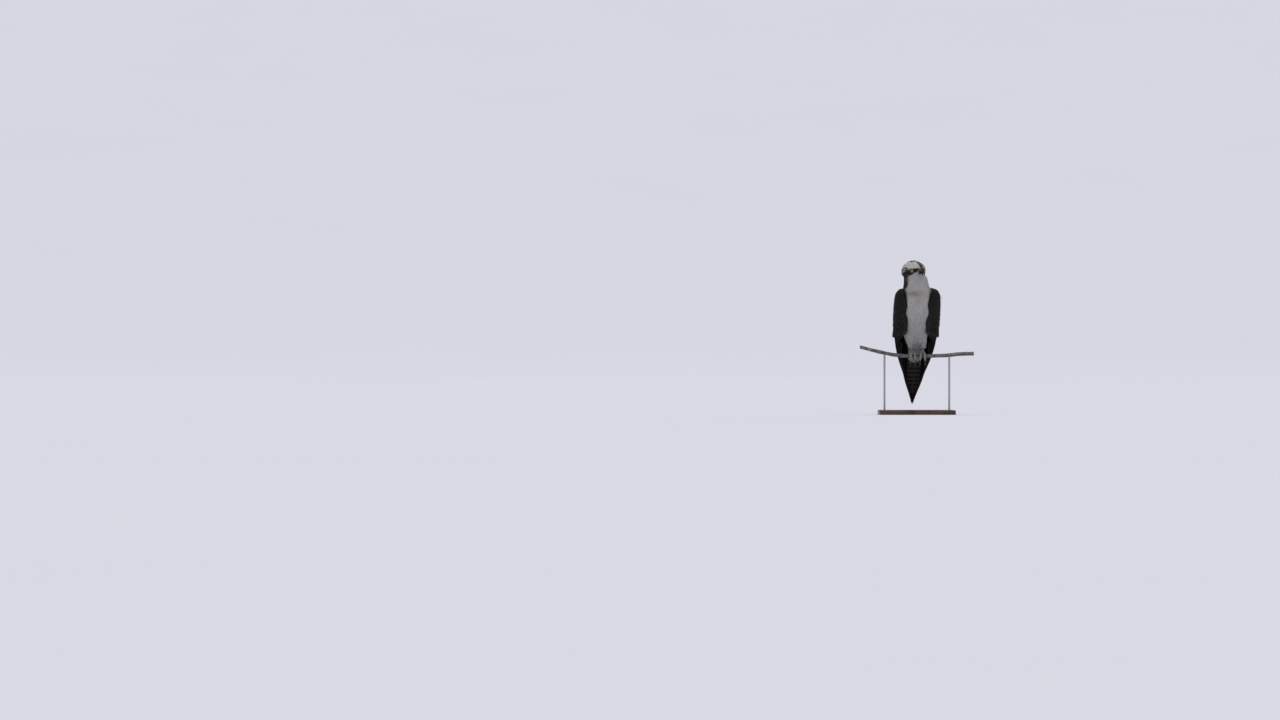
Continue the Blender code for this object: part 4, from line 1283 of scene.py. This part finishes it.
def make_vent_coat():
    """Long soft feathers under the root of the tail, in rows that shorten to the sides; their white is
    dimmed to paint the shade under the tail.
    """
    settings = bpy.context.scene.osprey_plumage
    rng = np.random.default_rng(settings.seed + 2)
    surface = vent_surface()
    share, z = np.meshgrid(np.linspace(-1, 1, 11), np.linspace(0.264, 0.232, 7))
    share = share + np.where(np.arange(7) % 2, 0.05, -0.05)[:, None]
    half = 0.0235 * np.sqrt((z - 0.150) / 0.112)
    roots = np.stack([share * half + middle_x(z), curve(VENT_SLOPE, z), z], -1).reshape(-1, 3)
    roots += rng.normal(0, 0.0012, roots.shape)
    chance = rng.uniform(-1, 1, len(roots))

    def inwards(points):
        aside = off_middle(points)
        return np.stack([aside * -6, np.full_like(aside, 0.5), np.full_like(aside, -1.0)], -1)

    length = 0.027 + 0.006 * chance
    grid, barbs, found = lay(surface, roots, inwards, length, 0.0105 + 0 * length, 0.0035 + 0.001 * chance,
                             rng, rows=7, columns=3, sway=0.07, ragged=0.05)
    # The white is dimmed to about half: painted shade under the tail
    white = np.array(settings.white[:]) * 0.55
    tone = white * (1 + 0.05 * chance[:, None])
    mark = np.zeros((len(roots), 3))
    coat = Coat()
    coat.add(grid[found], barbs[found], tone[found], mark[found], body_map(roots)[found] * (1, 0.5),
             chance[found])
    coat.join("vent_feathers", "plumage_white")


def wing_map(share, z):
    """Unwrap of a wing: the share of the way round it, and height."""
    return np.stack([0.03 + 0.94 * np.clip(share, 0, 1), 0.03 + 0.94 * (z - 0.03) / 0.48], 1)


def join_long_feathers(name, node, grid, barbs, pale, mark, rng):
    """One piece of long feathers, each with a strip of its own on the map for baking."""
    count = len(grid)
    chance = rng.uniform(-1, 1, count)
    strips = np.stack([(np.arange(count) + 0.5) / count, np.full(count, 0.5)], 1)
    coat = Coat()
    coat.add(grid, barbs, dark_tones(chance, pale), np.tile(mark, (count, 1)), strips, chance,
             (0.92 / count, 0.96))
    coat.join(name, "plumage_dark", node)


def dark_tones(chance, pale=1.0):
    """The dark brown, each feather by chance a little lighter or darker."""
    dark = np.array(bpy.context.scene.osprey_plumage.dark[:])
    return dark * pale * (1 + 0.25 * chance[:, None])


def down_wing(run):
    """Height on a wing's outer face after a run over its shoulder: round a quarter circle, then down."""
    bend = 0.031
    turn = np.clip(run / bend, 0, math.pi / 2)
    z = WING_TOP - SHOULDER_ROUND * (1 - np.cos(turn)) - np.maximum(run - bend * math.pi / 2, 0)
    return z + 0.6 * np.maximum(-run, 0)


def make_wing_covers(side):
    """Small, middle and great coverts and scapulars, each kind in rows that reach over the next."""
    settings = bpy.context.scene.osprey_plumage
    rng = np.random.default_rng(settings.seed + 3 + SIDES[side])
    face = wing_face(side, COVERT_WIDTH, 0.0, shoulder=True)
    coat = Coat()

    def add(share, top, tip_share, tip, width, low, high, rows, tilt=0.0005, arch=0.08, curl=0.0,
            down=lambda height: height):
        """One row, without the feathers that would reach over the breast's edge."""
        chance = rng.uniform(-1, 1, len(share))
        heights = down(straight(top, tip, rows))
        grid, barbs = shingle(face, straight(share, tip_share, rows), heights, width * (1 + 0.08 * chance),
                              low, high, rng, tilt=tilt, arch=arch, ragged=0.025, curl=curl,
                              outline=contour_outline)
        centre = grid[:, rows // 2, grid.shape[2] // 2]
        edge = curve(BREAST_EDGE, centre[:, 2]) + 0.0015 + 0.0075 * ease(0.478, 0.498, centre[:, 2])
        keep = (share > 0.55) | (np.abs(off_middle(centre)) > edge)
        mark = np.tile((0.0, 0.5, 0.0), (len(share), 1))
        coat.add(grid[keep], barbs[keep], dark_tones(chance)[keep], mark[keep],
                 wing_map(share, heights[:, 0])[keep], chance[keep])

    def row(count, shift):
        """Shares of a row's roots, each a little off its even place."""
        even = 0.045 + 0.955 * (np.arange(count) + shift) / (count - 0.5)
        return even + rng.normal(0, 0.10 / count, count)

    # great coverts
    share = row(20, 0.0)
    tip = curve(COVERT_TIPS, share) - 0.003
    add(share * 0.94 + 0.03, tip + 0.066, share, tip, 0.0250, -0.0030, -0.0006, 10, tilt=0.0008)
    # two rows of middle coverts
    count = 22
    for k, (tip_rise, long) in enumerate(((0.022, 0.046), (0.040, 0.040))):
        share = row(count, 0.5 * k)
        tip = curve(COVERT_TIPS, share) + tip_rise + rng.normal(0, 0.0012, count)
        add(share * 0.96 + 0.02, tip + long, share, tip, 0.0205, -0.0028, 0.0000, 8, tilt=0.0006)
    # small coverts, from the neck over the shoulder and down
    for k, start in enumerate(np.arange(-0.0045, 0.0940, 0.0064)):
        size = 0.0140 + 0.0125 * ease(0.0, 0.085, start)
        count = int(round(0.155 / (0.46 * size)))
        share = row(count, 0.5 * (k % 2))
        run = start + 0.12 * np.maximum(start, 0) * share + rng.normal(0, 0.0010, count)
        over = ease(0.012, 0.002, start)
        low = -0.0030 - over * (0.0010 + 0.0070 * ease(0.60, 0.90, share))
        add(share, run, share + 0.012, run + size * 1.28, 0.62 * size + 0.003, low, 0.0002, 7, tilt=0.0003,
            arch=0.12, down=down_wing)
    # scapulars, over the back
    count = 9
    for k, top in enumerate(np.arange(0.441, 0.486, 0.0085)):
        long = 0.052 - 0.0030 * k
        share = 0.66 + 0.37 * (np.arange(count) + 0.5 * (k % 2)) / count + rng.normal(0, 0.006, count)
        tops = np.full(count, top) + rng.normal(0, 0.0012, count)
        tips = tops - long * (1 + rng.normal(0, 0.07, count))
        add(share - 0.03, tops, share, tips, 0.0210, -0.0036, 0.0004 + 0.0002 * k, 9)
    if side == "left":
        # one feather that curls off the shoulder
        share, top, tip = np.array([[0.34], [0.490], [0.457]])
        add(share, top, share, tip, 0.0135, -0.0010, 0.0018, 9, curl=0.0050)
    coat.join("wing_covers_" + side, "plumage_dark", "wing_%s_coverts" % side)


def make_wing_lining(side):
    """The arm under the coverts: a closed sheet of even thickness, inside the feathers."""
    face = wing_face(side, COVERT_WIDTH, 0.0, shoulder=True)
    rows, columns = 56, 48
    share, down = np.meshgrid(np.linspace(0.03, 1.0, columns), np.linspace(0, 1, rows))
    bottom = curve(COVERT_TIPS, share) + 0.012
    top = WING_TOP - 0.0180
    z = top + (bottom - top) * down
    outer, inner = (face(share, z, depth) for depth in (0.0042, 0.0060))
    loop = np.concatenate([outer, inner[::-1], outer[:1]])
    edges = np.arange(loop.shape[0] * columns).reshape(-1, columns)
    rims = [np.stack([edges[:rows - 1, c], edges[1:rows, c], edges[2 * rows - 2:rows - 1:-1, c],
                      edges[2 * rows - 1:rows:-1, c]], 1) for c in (0, -1)]
    piece = close_up(add_mesh("lining", loop.reshape(-1, 3), grid_faces(*loop.shape[:2]), *rims))
    count = len(piece.data.vertices)
    write(piece.data, "tone", opaque(dark_tones(np.zeros(count))))
    write(piece.data, "bare", np.zeros(count))
    place_piece(piece, "wing_lining_" + side, skin_material(), "plumage_dark")


def make_quills(side):
    """Flight feathers of the folded wing. Each runs from under the coverts to its own tip.

    A primary's outer edge keeps its distance from the wing's edge: its middle line is half its width and
    its rank's step further on, up to four fifths of the way round.
    """
    settings = bpy.context.scene.osprey_plumage
    rng = np.random.default_rng(settings.seed + 6 + SIDES[side])
    face = wing_face(side, PRIMARY_WIDTH, 2 * LAYER_STEP)
    rank, rows = np.arange(10), 30
    top = 0.352 + 0.001 * rank
    z = straight(top, np.array(PRIMARY_TIPS), rows)
    width = 0.0290 - 0.0004 * rank
    half = width[:, None] / 2 * quill_outline(stations(rows))
    _, _, metres = facing(face, np.full(z.shape, 0.3), z)
    inward = half * 0.92 + (0.0004 + 0.0068 * rank)[:, None]
    share = np.minimum(inward / metres, 0.50 + 0.034 * rank[:, None])
    share[:, 1:-1] = (share[:, :-2] + share[:, 2:] + 2 * share[:, 1:-1]) / 4
    grid, barbs = shingle(face, share, z, width, -0.0012, -0.0004 + 0.00012 * rank, rng, tilt=0.0008,
                          arch=0.03, lag=0.20)
    join_long_feathers("primaries_" + side, "wing_%s_primaries" % side, grid, barbs, 0.85, (0.0, 0.40, 0.0),
                       rng)

    face = wing_face(side, SECONDARY_WIDTH, LAYER_STEP)
    rank, rows = np.arange(17), 18
    tip_share = 0.035 + 0.93 * rank / 16
    tip = curve(SECONDARY_TIPS, tip_share) - 0.0015
    top = curve(COVERT_TIPS, tip_share) + 0.030
    root_share = tip_share * 0.86 + 0.10
    grid, barbs = shingle(face, straight(root_share, tip_share, rows), straight(top, tip, rows),
                          0.0300 + 0.0003 * rank, -0.0030, -0.0006, rng, tilt=0.0009, arch=0.03, lag=0.16,
                          ragged=0.012)
    join_long_feathers("secondaries_" + side, "wing_%s_secondaries" % side, grid, barbs, 1.0,
                       (0.0, 0.50, 0.0), rng)


def make_tail():
    """Twelve tail feathers, the middle pair on top, barred and tipped with pale marks that are dimmed to
    paint the shade under the tail.
    """
    settings = bpy.context.scene.osprey_plumage
    rng = np.random.default_rng(settings.seed + 9)
    order = np.arange(12)
    hand = np.where(order % 2, 1.0, -1.0)
    out = hand * (0.5 + order // 2) / 6
    rows = 28
    tip = 0.0805 + 0.010 * np.abs(out) ** 2
    z = straight(np.full(12, 0.262), tip, rows)
    share = out[:, None] * (0.60 + 0.18 * stations(rows))
    high = -0.0004 - 0.0034 * np.abs(out)
    grid, barbs = shingle(tail_face, share, z, np.full(12, 0.0200), high, high, rng, tilt=0.0, arch=0.04,
                          ragged=0.012)
    join_long_feathers("tail_feathers", "tail", grid, barbs, 1.3, (0.0, 0.4, 1.0), rng)


def bill_grid(top, bottom, half_width, rows, around, pinch):
    """A loft through the side view's upper and lower lines.

    At a share t of the way, the section's middle is halfway between the two lines. Its points go round
    by an angle a: up by cos a times half the height, and aside by the half width times sin a to a power
    that pinch lowers towards the ridge.
    """
    t, a = span_and_turn(0, 1, rows, around)
    upper, lower = (np.stack([curve(np.array(line)[:, (0, k)], t) for k in (1, 2)], -1)
                    for line in (top, bottom))
    centre = (upper + lower) / 2
    ridge = np.clip(np.cos(a), 0, 1)
    side = np.sign(np.sin(a)) * np.abs(np.sin(a)) ** (0.75 + pinch * ridge) * curve(half_width, t)
    high = centre + (upper - lower) / 2 * np.cos(a)[..., None]
    return high[..., 0], side, high[..., 1], a


def bill_piece(name, node, forward, aside, up, soft, pit, *caps):
    """Closes one half of the bill; soft is 1 on the cere and pit 1 in the nostril."""
    points = head_point(forward, aside, up).reshape(-1, 3)
    piece = add_mesh(name, points, grid_faces(*forward.shape, wrap=True), *caps)
    write(piece.data, "soft", soft.ravel())
    write(piece.data, "pit", pit.ravel())
    place_piece(close_up(piece), name, bill_material(), "bill_black", node)


def make_bill():
    """Upper and lower bill, each with its cere or soft root, and the slit of each nostril."""
    upper_line = ((0.0, 0.0240, 0.0062), (0.18, 0.0330, 0.0068), (0.38, 0.0415, 0.0062),
                  (0.55, 0.0500, 0.0028), (0.72, 0.0563, -0.0048), (0.86, 0.0596, -0.0140),
                  (1.0, 0.0588, -0.0262))
    lower_line = ((0.0, 0.0240, -0.0086), (0.18, 0.0315, -0.0080), (0.38, 0.0395, -0.0076),
                  (0.55, 0.0455, -0.0088), (0.72, 0.0500, -0.0120), (0.86, 0.0548, -0.0185),
                  (1.0, 0.0580, -0.0262))
    width = ((0.0, 0.0086), (0.18, 0.0078), (0.38, 0.0066), (0.55, 0.0054), (0.72, 0.0040), (0.86, 0.0025),
             (0.96, 0.0011), (1.0, 0.0))
    forward, aside, up, a = bill_grid(upper_line, lower_line, width, 64, 48, 0.85)
    soft = ease(0.0425, 0.0400, forward + 0.16 * (up + 0.001) + 0.0006 * np.sin(9 * a))
    along = forward - 0.0375
    slit = np.exp(-((along / 0.0016) ** 2) - ((up - 0.0012 - 0.5 * along) / 0.0009) ** 2)
    slit = slit * (np.abs(aside) > 0.003)
    swell = 0.00045 * soft - 0.0011 * slit
    aside = aside * (1 + swell / 0.007)
    up = up + 0.00035 * soft * np.cos(a)
    bill_piece("bill_upper", "beak_upper", forward, aside, up, soft, np.clip(slit * 1.6, 0, 1),
               np.arange(48)[None])

    upper_line = ((0.0, 0.0240, -0.0092), (0.5, 0.0400, -0.0088), (0.8, 0.0475, -0.0104),
                  (1.0, 0.0518, -0.0136))
    lower_line = ((0.0, 0.0240, -0.0152), (0.5, 0.0400, -0.0152), (0.8, 0.0478, -0.0160),
                  (1.0, 0.0520, -0.0146))
    width = ((0.0, 0.0074), (0.5, 0.0054), (0.8, 0.0036), (1.0, 0.0006))
    forward, aside, up, _ = bill_grid(upper_line, lower_line, width, 40, 40, 0.0)
    ends = np.arange(40)[None]
    bill_piece("bill_lower", "beak_lower", forward, aside, up, ease(0.0400, 0.0365, forward),
               np.zeros(forward.shape), ends, ends + 39 * 40)


def eye_point(side, radius, angle, turn):
    """The place at a distance from the middle of an eye, by its angle from the gaze and its turn round it:
    gaze cos(angle) + (across cos(turn) + upright sin(turn)) sin(angle), times the distance."""
    gaze = gaze_of(side)
    across = unit(np.cross(UPWARD, gaze))
    rim = across * np.cos(turn)[..., None] + np.cross(gaze, across) * np.sin(turn)[..., None]
    ray = gaze * np.cos(angle)[..., None] + rim * np.sin(angle)[..., None]
    return EYES[side] + ray * np.asarray(radius)[..., None]


def make_eye(side):
    """The ball with its cornea: a sphere by angle from the gaze and angle round it, a little raised in
    front, and round it the lids, a ring that leaves the ball at the opening and ends under the feathers."""
    from_gaze, round_it = span_and_turn(0, math.pi, 49, 64)
    bulge = EYE_RADIUS * BALL + 0.0006 * ease(math.radians(52), math.radians(8), from_gaze)
    ball = eye_point(side, bulge, from_gaze, round_it)
    piece = add_mesh("eye", ball.reshape(-1, 3), grid_faces(49, 64, wrap=True))
    write(piece.data, "ring", (from_gaze / math.radians(60)).ravel())
    spokes = np.stack([np.cos(round_it) * 4, np.sin(round_it) * 4, from_gaze * 0.6], -1)
    write(piece.data, "spokes", spokes.reshape(-1, 3))
    place_piece(close_up(piece), "eyeball_" + side, eye_material(), "eye_yellow", "eye_" + side)

    opening = bpy.context.scene.osprey_head.opening
    out, round_it = span_and_turn(0, 1, 15, 72)
    lid = np.sin(round_it)
    start = opening * (1 - 0.13 * np.abs(lid) ** 1.5 - 0.10 * np.clip(lid, 0, 1))
    angle = start + (math.radians(84) - start) * out
    thick = 0.00075 * np.sin(math.pi * np.clip(out * 1.3, 0, 1)) + 0.00012 * np.sin(out * 26) * (1 - out)
    radius = EYE_RADIUS * BALL + 0.00015 + thick + 0.0012 * out**2
    radius = radius + 0.0006 * np.clip(lid, 0, 1) * np.sin(math.pi * np.clip(out * 1.6, 0, 1))
    outer = eye_point(side, radius, angle, round_it)
    inner = eye_point(side, np.full(angle.shape, EYE_RADIUS * 0.975), angle, round_it)
    loop = np.concatenate([outer, inner[::-1], outer[:1]])
    piece = add_mesh("lids", loop.reshape(-1, 3), grid_faces(31, 72, wrap=True))
    write(piece.data, "fold", np.concatenate([out, out[::-1], out[:1]]).ravel())
    place_piece(close_up(piece), "eyelids_" + side, lid_material(), "bill_black")


def make_claws(side):
    """The four claws of a foot: the solids themselves, rounded."""
    nodes = ["claw_%s_%s" % (toe, side) for toe in ("inner", "middle", "outer", "hind")]
    claws = object_of(refined(nodes, 2), "claws")
    place_piece(claws, "claws_" + side, claw_material(), "bill_black", *nodes)


def make_perch():
    """The bough: circles square to its line, their radius roughened by long ridges, with flat cut ends."""
    x, a = span_and_turn(-PERCH_HALF, PERCH_HALF, 420, 56)
    radius = PERCH_RADIUS + 0.0035 * np.minimum(x + 0.06, 0) + 0.002 * np.maximum(x - 0.06, 0)
    for place, size, reach in KNOTS:
        towards = 0.35 + 0.65 * np.exp(-((np.angle(np.exp(1j * (a - 1.2 - 30 * place))) / 0.8) ** 2))
        radius = radius + size * np.exp(-(((x - place) / reach) ** 2)) * towards
    along = np.stack([x * 0.16, np.cos(a) * 0.0073, np.sin(a) * 0.0073], -1)
    rough = ripple(along, 0.0032, 21) * 0.00016 + ripple(along, 0.0075, 22) * 0.00022
    cracks = np.clip(ripple(along * (1, 1.6, 1.6), 0.0050, 23) - 0.55, 0, 1) * 0.0009
    clear = ease(0.048, 0.062, np.abs(x - 0.004))
    radius = radius - 0.0001 + rough * (0.35 + 0.65 * clear) - cracks * (0.4 + 0.6 * clear)
    slope = np.gradient(curve(PERCH_RISE, x[:, 0]), x[:, 0])[:, None] * np.ones_like(a)
    slope = slope * ease(PERCH_HALF, PERCH_HALF - 0.003, np.abs(x))
    up = radius * np.sin(a) / np.sqrt(1 + slope**2)
    side = np.stack([x - slope * up, PERCH_Y + radius * np.cos(a), curve(PERCH_RISE, x) + up], -1)
    share = np.linspace(0.97, 0.0, 9)[:, None]
    first, last = (ring.mean(0) + (ring - ring.mean(0)) * share[..., None] for ring in (side[0], side[-1]))
    share = np.broadcast_to(share, first.shape[:2])
    on_cut, on_bark = np.ones(share.shape), np.ones(x.shape)
    points = np.concatenate([first[::-1], side, last])
    piece = add_mesh("perch", points.reshape(-1, 3), grid_faces(*points.shape[:2], wrap=True))
    write(piece.data, "end", np.concatenate([on_cut, on_bark * 0, on_cut]).ravel())
    write(piece.data, "rings", np.concatenate([share[::-1], on_bark, share]).ravel())
    place_piece(close_up(piece), "perch_bark", bark_material(), "bark", "perch_branch")


def make_stand():
    """Finishes the base and the rods, which stay the solids themselves."""
    paint(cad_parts["stand_base"], wood_material())
    for side in SIDES:
        paint(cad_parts["stand_rod_" + side], steel_material())


def make_backdrop(stage):
    """Floor and backdrop in one round sheet: level beyond the camera, then an arc, then an even slope that
    rises on all sides, so no view has an edge in it."""
    level, bend, slope = stage.distance + 5.0, 12.0, math.radians(14)
    turn = np.linspace(0, slope, 16)
    reach = np.concatenate([np.linspace(0.6, level, 24)[:-1], level + bend * np.sin(turn)])
    height = np.concatenate([np.zeros(23), bend * (1 - np.cos(turn))])
    run = np.linspace(2, 26, 8)
    reach = np.concatenate([reach, reach[-1] + run])
    height = np.concatenate([height, height[-1] + run * math.tan(slope)])
    around = np.linspace(0, -2 * math.pi, 96, endpoint=False)
    sheet = np.stack(np.broadcast_arrays(reach[:, None] * np.cos(around), reach[:, None] * np.sin(around),
                                         height[:, None]), -1)
    floor = add_mesh("backdrop", sheet.reshape(-1, 3), grid_faces(len(reach), 96, wrap=True),
                     np.arange(96)[None, ::-1])
    floor.data.materials.append(paper_material())


def make_lights(stage):
    """An even room light, a soft sun from behind and above, and a weak one from beside the camera."""
    world = bpy.data.worlds.new("room")
    world.use_nodes = True
    even = world.node_tree.nodes["Background"].inputs
    even["Color"].default_value = (0.86, 0.89, 1.0, 1)
    even["Strength"].default_value = stage.room_light
    bpy.context.scene.world = world
    lights = (("back", (0, 0.6, 8), (0, 0, 0.3), stage.back_light, 80, (1.0, 0.98, 0.95)),
              ("key", (-2.5, -3.2, 2.2), (0, -0.03, 0.36), stage.key_light, 14, (1.0, 0.97, 0.93)))
    for name, place, target, power, size, colour in lights:
        light = bpy.data.lights.new(name, "SUN")
        light.energy = power
        light.color = colour
        light.angle = math.radians(size)
        lamp = bpy.data.objects.new(name, light)
        lamp.location = place
        lamp.rotation_euler = (Vector(target) - Vector(place)).to_track_quat("-Z", "Y").to_euler()
        bpy.context.scene.collection.objects.link(lamp)


def make_stage():
    """Floor, backdrop, lights and a level camera."""
    stage = bpy.context.scene.osprey_stage
    make_backdrop(stage)
    make_lights(stage)
    bpy.context.scene.view_settings.view_transform = "Standard"
    camera = bpy.data.cameras.new("camera")
    camera.lens = stage.lens
    camera.sensor_width = 36
    camera.clip_end = 200
    eye = bpy.data.objects.new("camera", camera)
    eye.location = (stage.aside, PERCH_Y - stage.distance, stage.height)
    eye.rotation_euler = (math.pi / 2, 0, 0)
    bpy.context.scene.collection.objects.link(eye)
    bpy.context.scene.camera = eye


class OSPREY_OT_skin(bpy.types.Operator):
    """Make the one skin of head, body, legs and toes"""
    bl_idname = "osprey.skin"
    bl_label = "Skin"

    def execute(self, context):
        make_skin()
        return {"FINISHED"}


class OSPREY_OT_plumage(bpy.types.Operator):
    """Lay the feathers of head, neck, body and legs"""
    bl_idname = "osprey.plumage"
    bl_label = "Body plumage"

    def execute(self, context):
        make_body_coat()
        make_vent_coat()
        return {"FINISHED"}


class OSPREY_OT_wings(bpy.types.Operator):
    """Lay the coverts and flight feathers of both wings"""
    bl_idname = "osprey.wings"
    bl_label = "Wings"

    def execute(self, context):
        for side in SIDES:
            make_wing_lining(side)
            make_wing_covers(side)
            make_quills(side)
        return {"FINISHED"}


class OSPREY_OT_tail(bpy.types.Operator):
    """Lay the tail feathers"""
    bl_idname = "osprey.tail"
    bl_label = "Tail"

    def execute(self, context):
        make_tail()
        return {"FINISHED"}


class OSPREY_OT_bill(bpy.types.Operator):
    """Make the upper and lower bill"""
    bl_idname = "osprey.bill"
    bl_label = "Bill"

    def execute(self, context):
        make_bill()
        return {"FINISHED"}


class OSPREY_OT_eyes(bpy.types.Operator):
    """Make the eyes and their lids"""
    bl_idname = "osprey.eyes"
    bl_label = "Eyes"

    def execute(self, context):
        for side in SIDES:
            make_eye(side)
        return {"FINISHED"}


class OSPREY_OT_claws(bpy.types.Operator):
    """Make the claws"""
    bl_idname = "osprey.claws"
    bl_label = "Claws"

    def execute(self, context):
        for side in SIDES:
            make_claws(side)
        return {"FINISHED"}


class OSPREY_OT_perch(bpy.types.Operator):
    """Make the bough with its bark"""
    bl_idname = "osprey.perch"
    bl_label = "Perch"

    def execute(self, context):
        make_perch()
        return {"FINISHED"}


class OSPREY_OT_stand(bpy.types.Operator):
    """Finish the base and the rods"""
    bl_idname = "osprey.stand"
    bl_label = "Stand"

    def execute(self, context):
        make_stand()
        return {"FINISHED"}


class OSPREY_OT_stage(bpy.types.Operator):
    """Set up floor, light and camera"""
    bl_idname = "osprey.stage"
    bl_label = "Stage"

    def execute(self, context):
        make_stage()
        return {"FINISHED"}


OPERATORS = (OSPREY_OT_skin, OSPREY_OT_plumage, OSPREY_OT_wings, OSPREY_OT_tail, OSPREY_OT_bill,
             OSPREY_OT_eyes, OSPREY_OT_claws, OSPREY_OT_perch, OSPREY_OT_stand, OSPREY_OT_stage)
SETTINGS = {"osprey_plumage": PlumageSettings, "osprey_head": HeadSettings,
            "osprey_stand": StandSettings, "osprey_stage": StageSettings}


class OSPREY_PT_panel(bpy.types.Panel):
    """The bird's sizes and colours, and a button for each group of pieces"""
    bl_idname = "OSPREY_PT_panel"
    bl_label = "Osprey"
    bl_space_type = "VIEW_3D"
    bl_region_type = "UI"
    bl_category = "Osprey"

    def draw(self, context):
        for group in SETTINGS:
            box = self.layout.box()
            for name in getattr(context.scene, group).__annotations__:
                box.prop(getattr(context.scene, group), name)
        for operator in OPERATORS:
            self.layout.operator(operator.bl_idname)


def register():
    for group in SETTINGS.values():
        bpy.utils.register_class(group)
    for name, group in SETTINGS.items():
        setattr(bpy.types.Scene, name, bpy.props.PointerProperty(type=group))
    for operator in OPERATORS:
        bpy.utils.register_class(operator)
    bpy.utils.register_class(OSPREY_PT_panel)


def unregister():
    bpy.utils.unregister_class(OSPREY_PT_panel)
    for operator in reversed(OPERATORS):
        bpy.utils.unregister_class(operator)
    for name in SETTINGS:
        delattr(bpy.types.Scene, name)
    for group in reversed(SETTINGS.values()):
        bpy.utils.unregister_class(group)


def main():
    register()
    for operator in OPERATORS:
        group, action = operator.bl_idname.split(".")
        getattr(getattr(bpy.ops, group), action)()


if __name__ == "__main__":
    main()
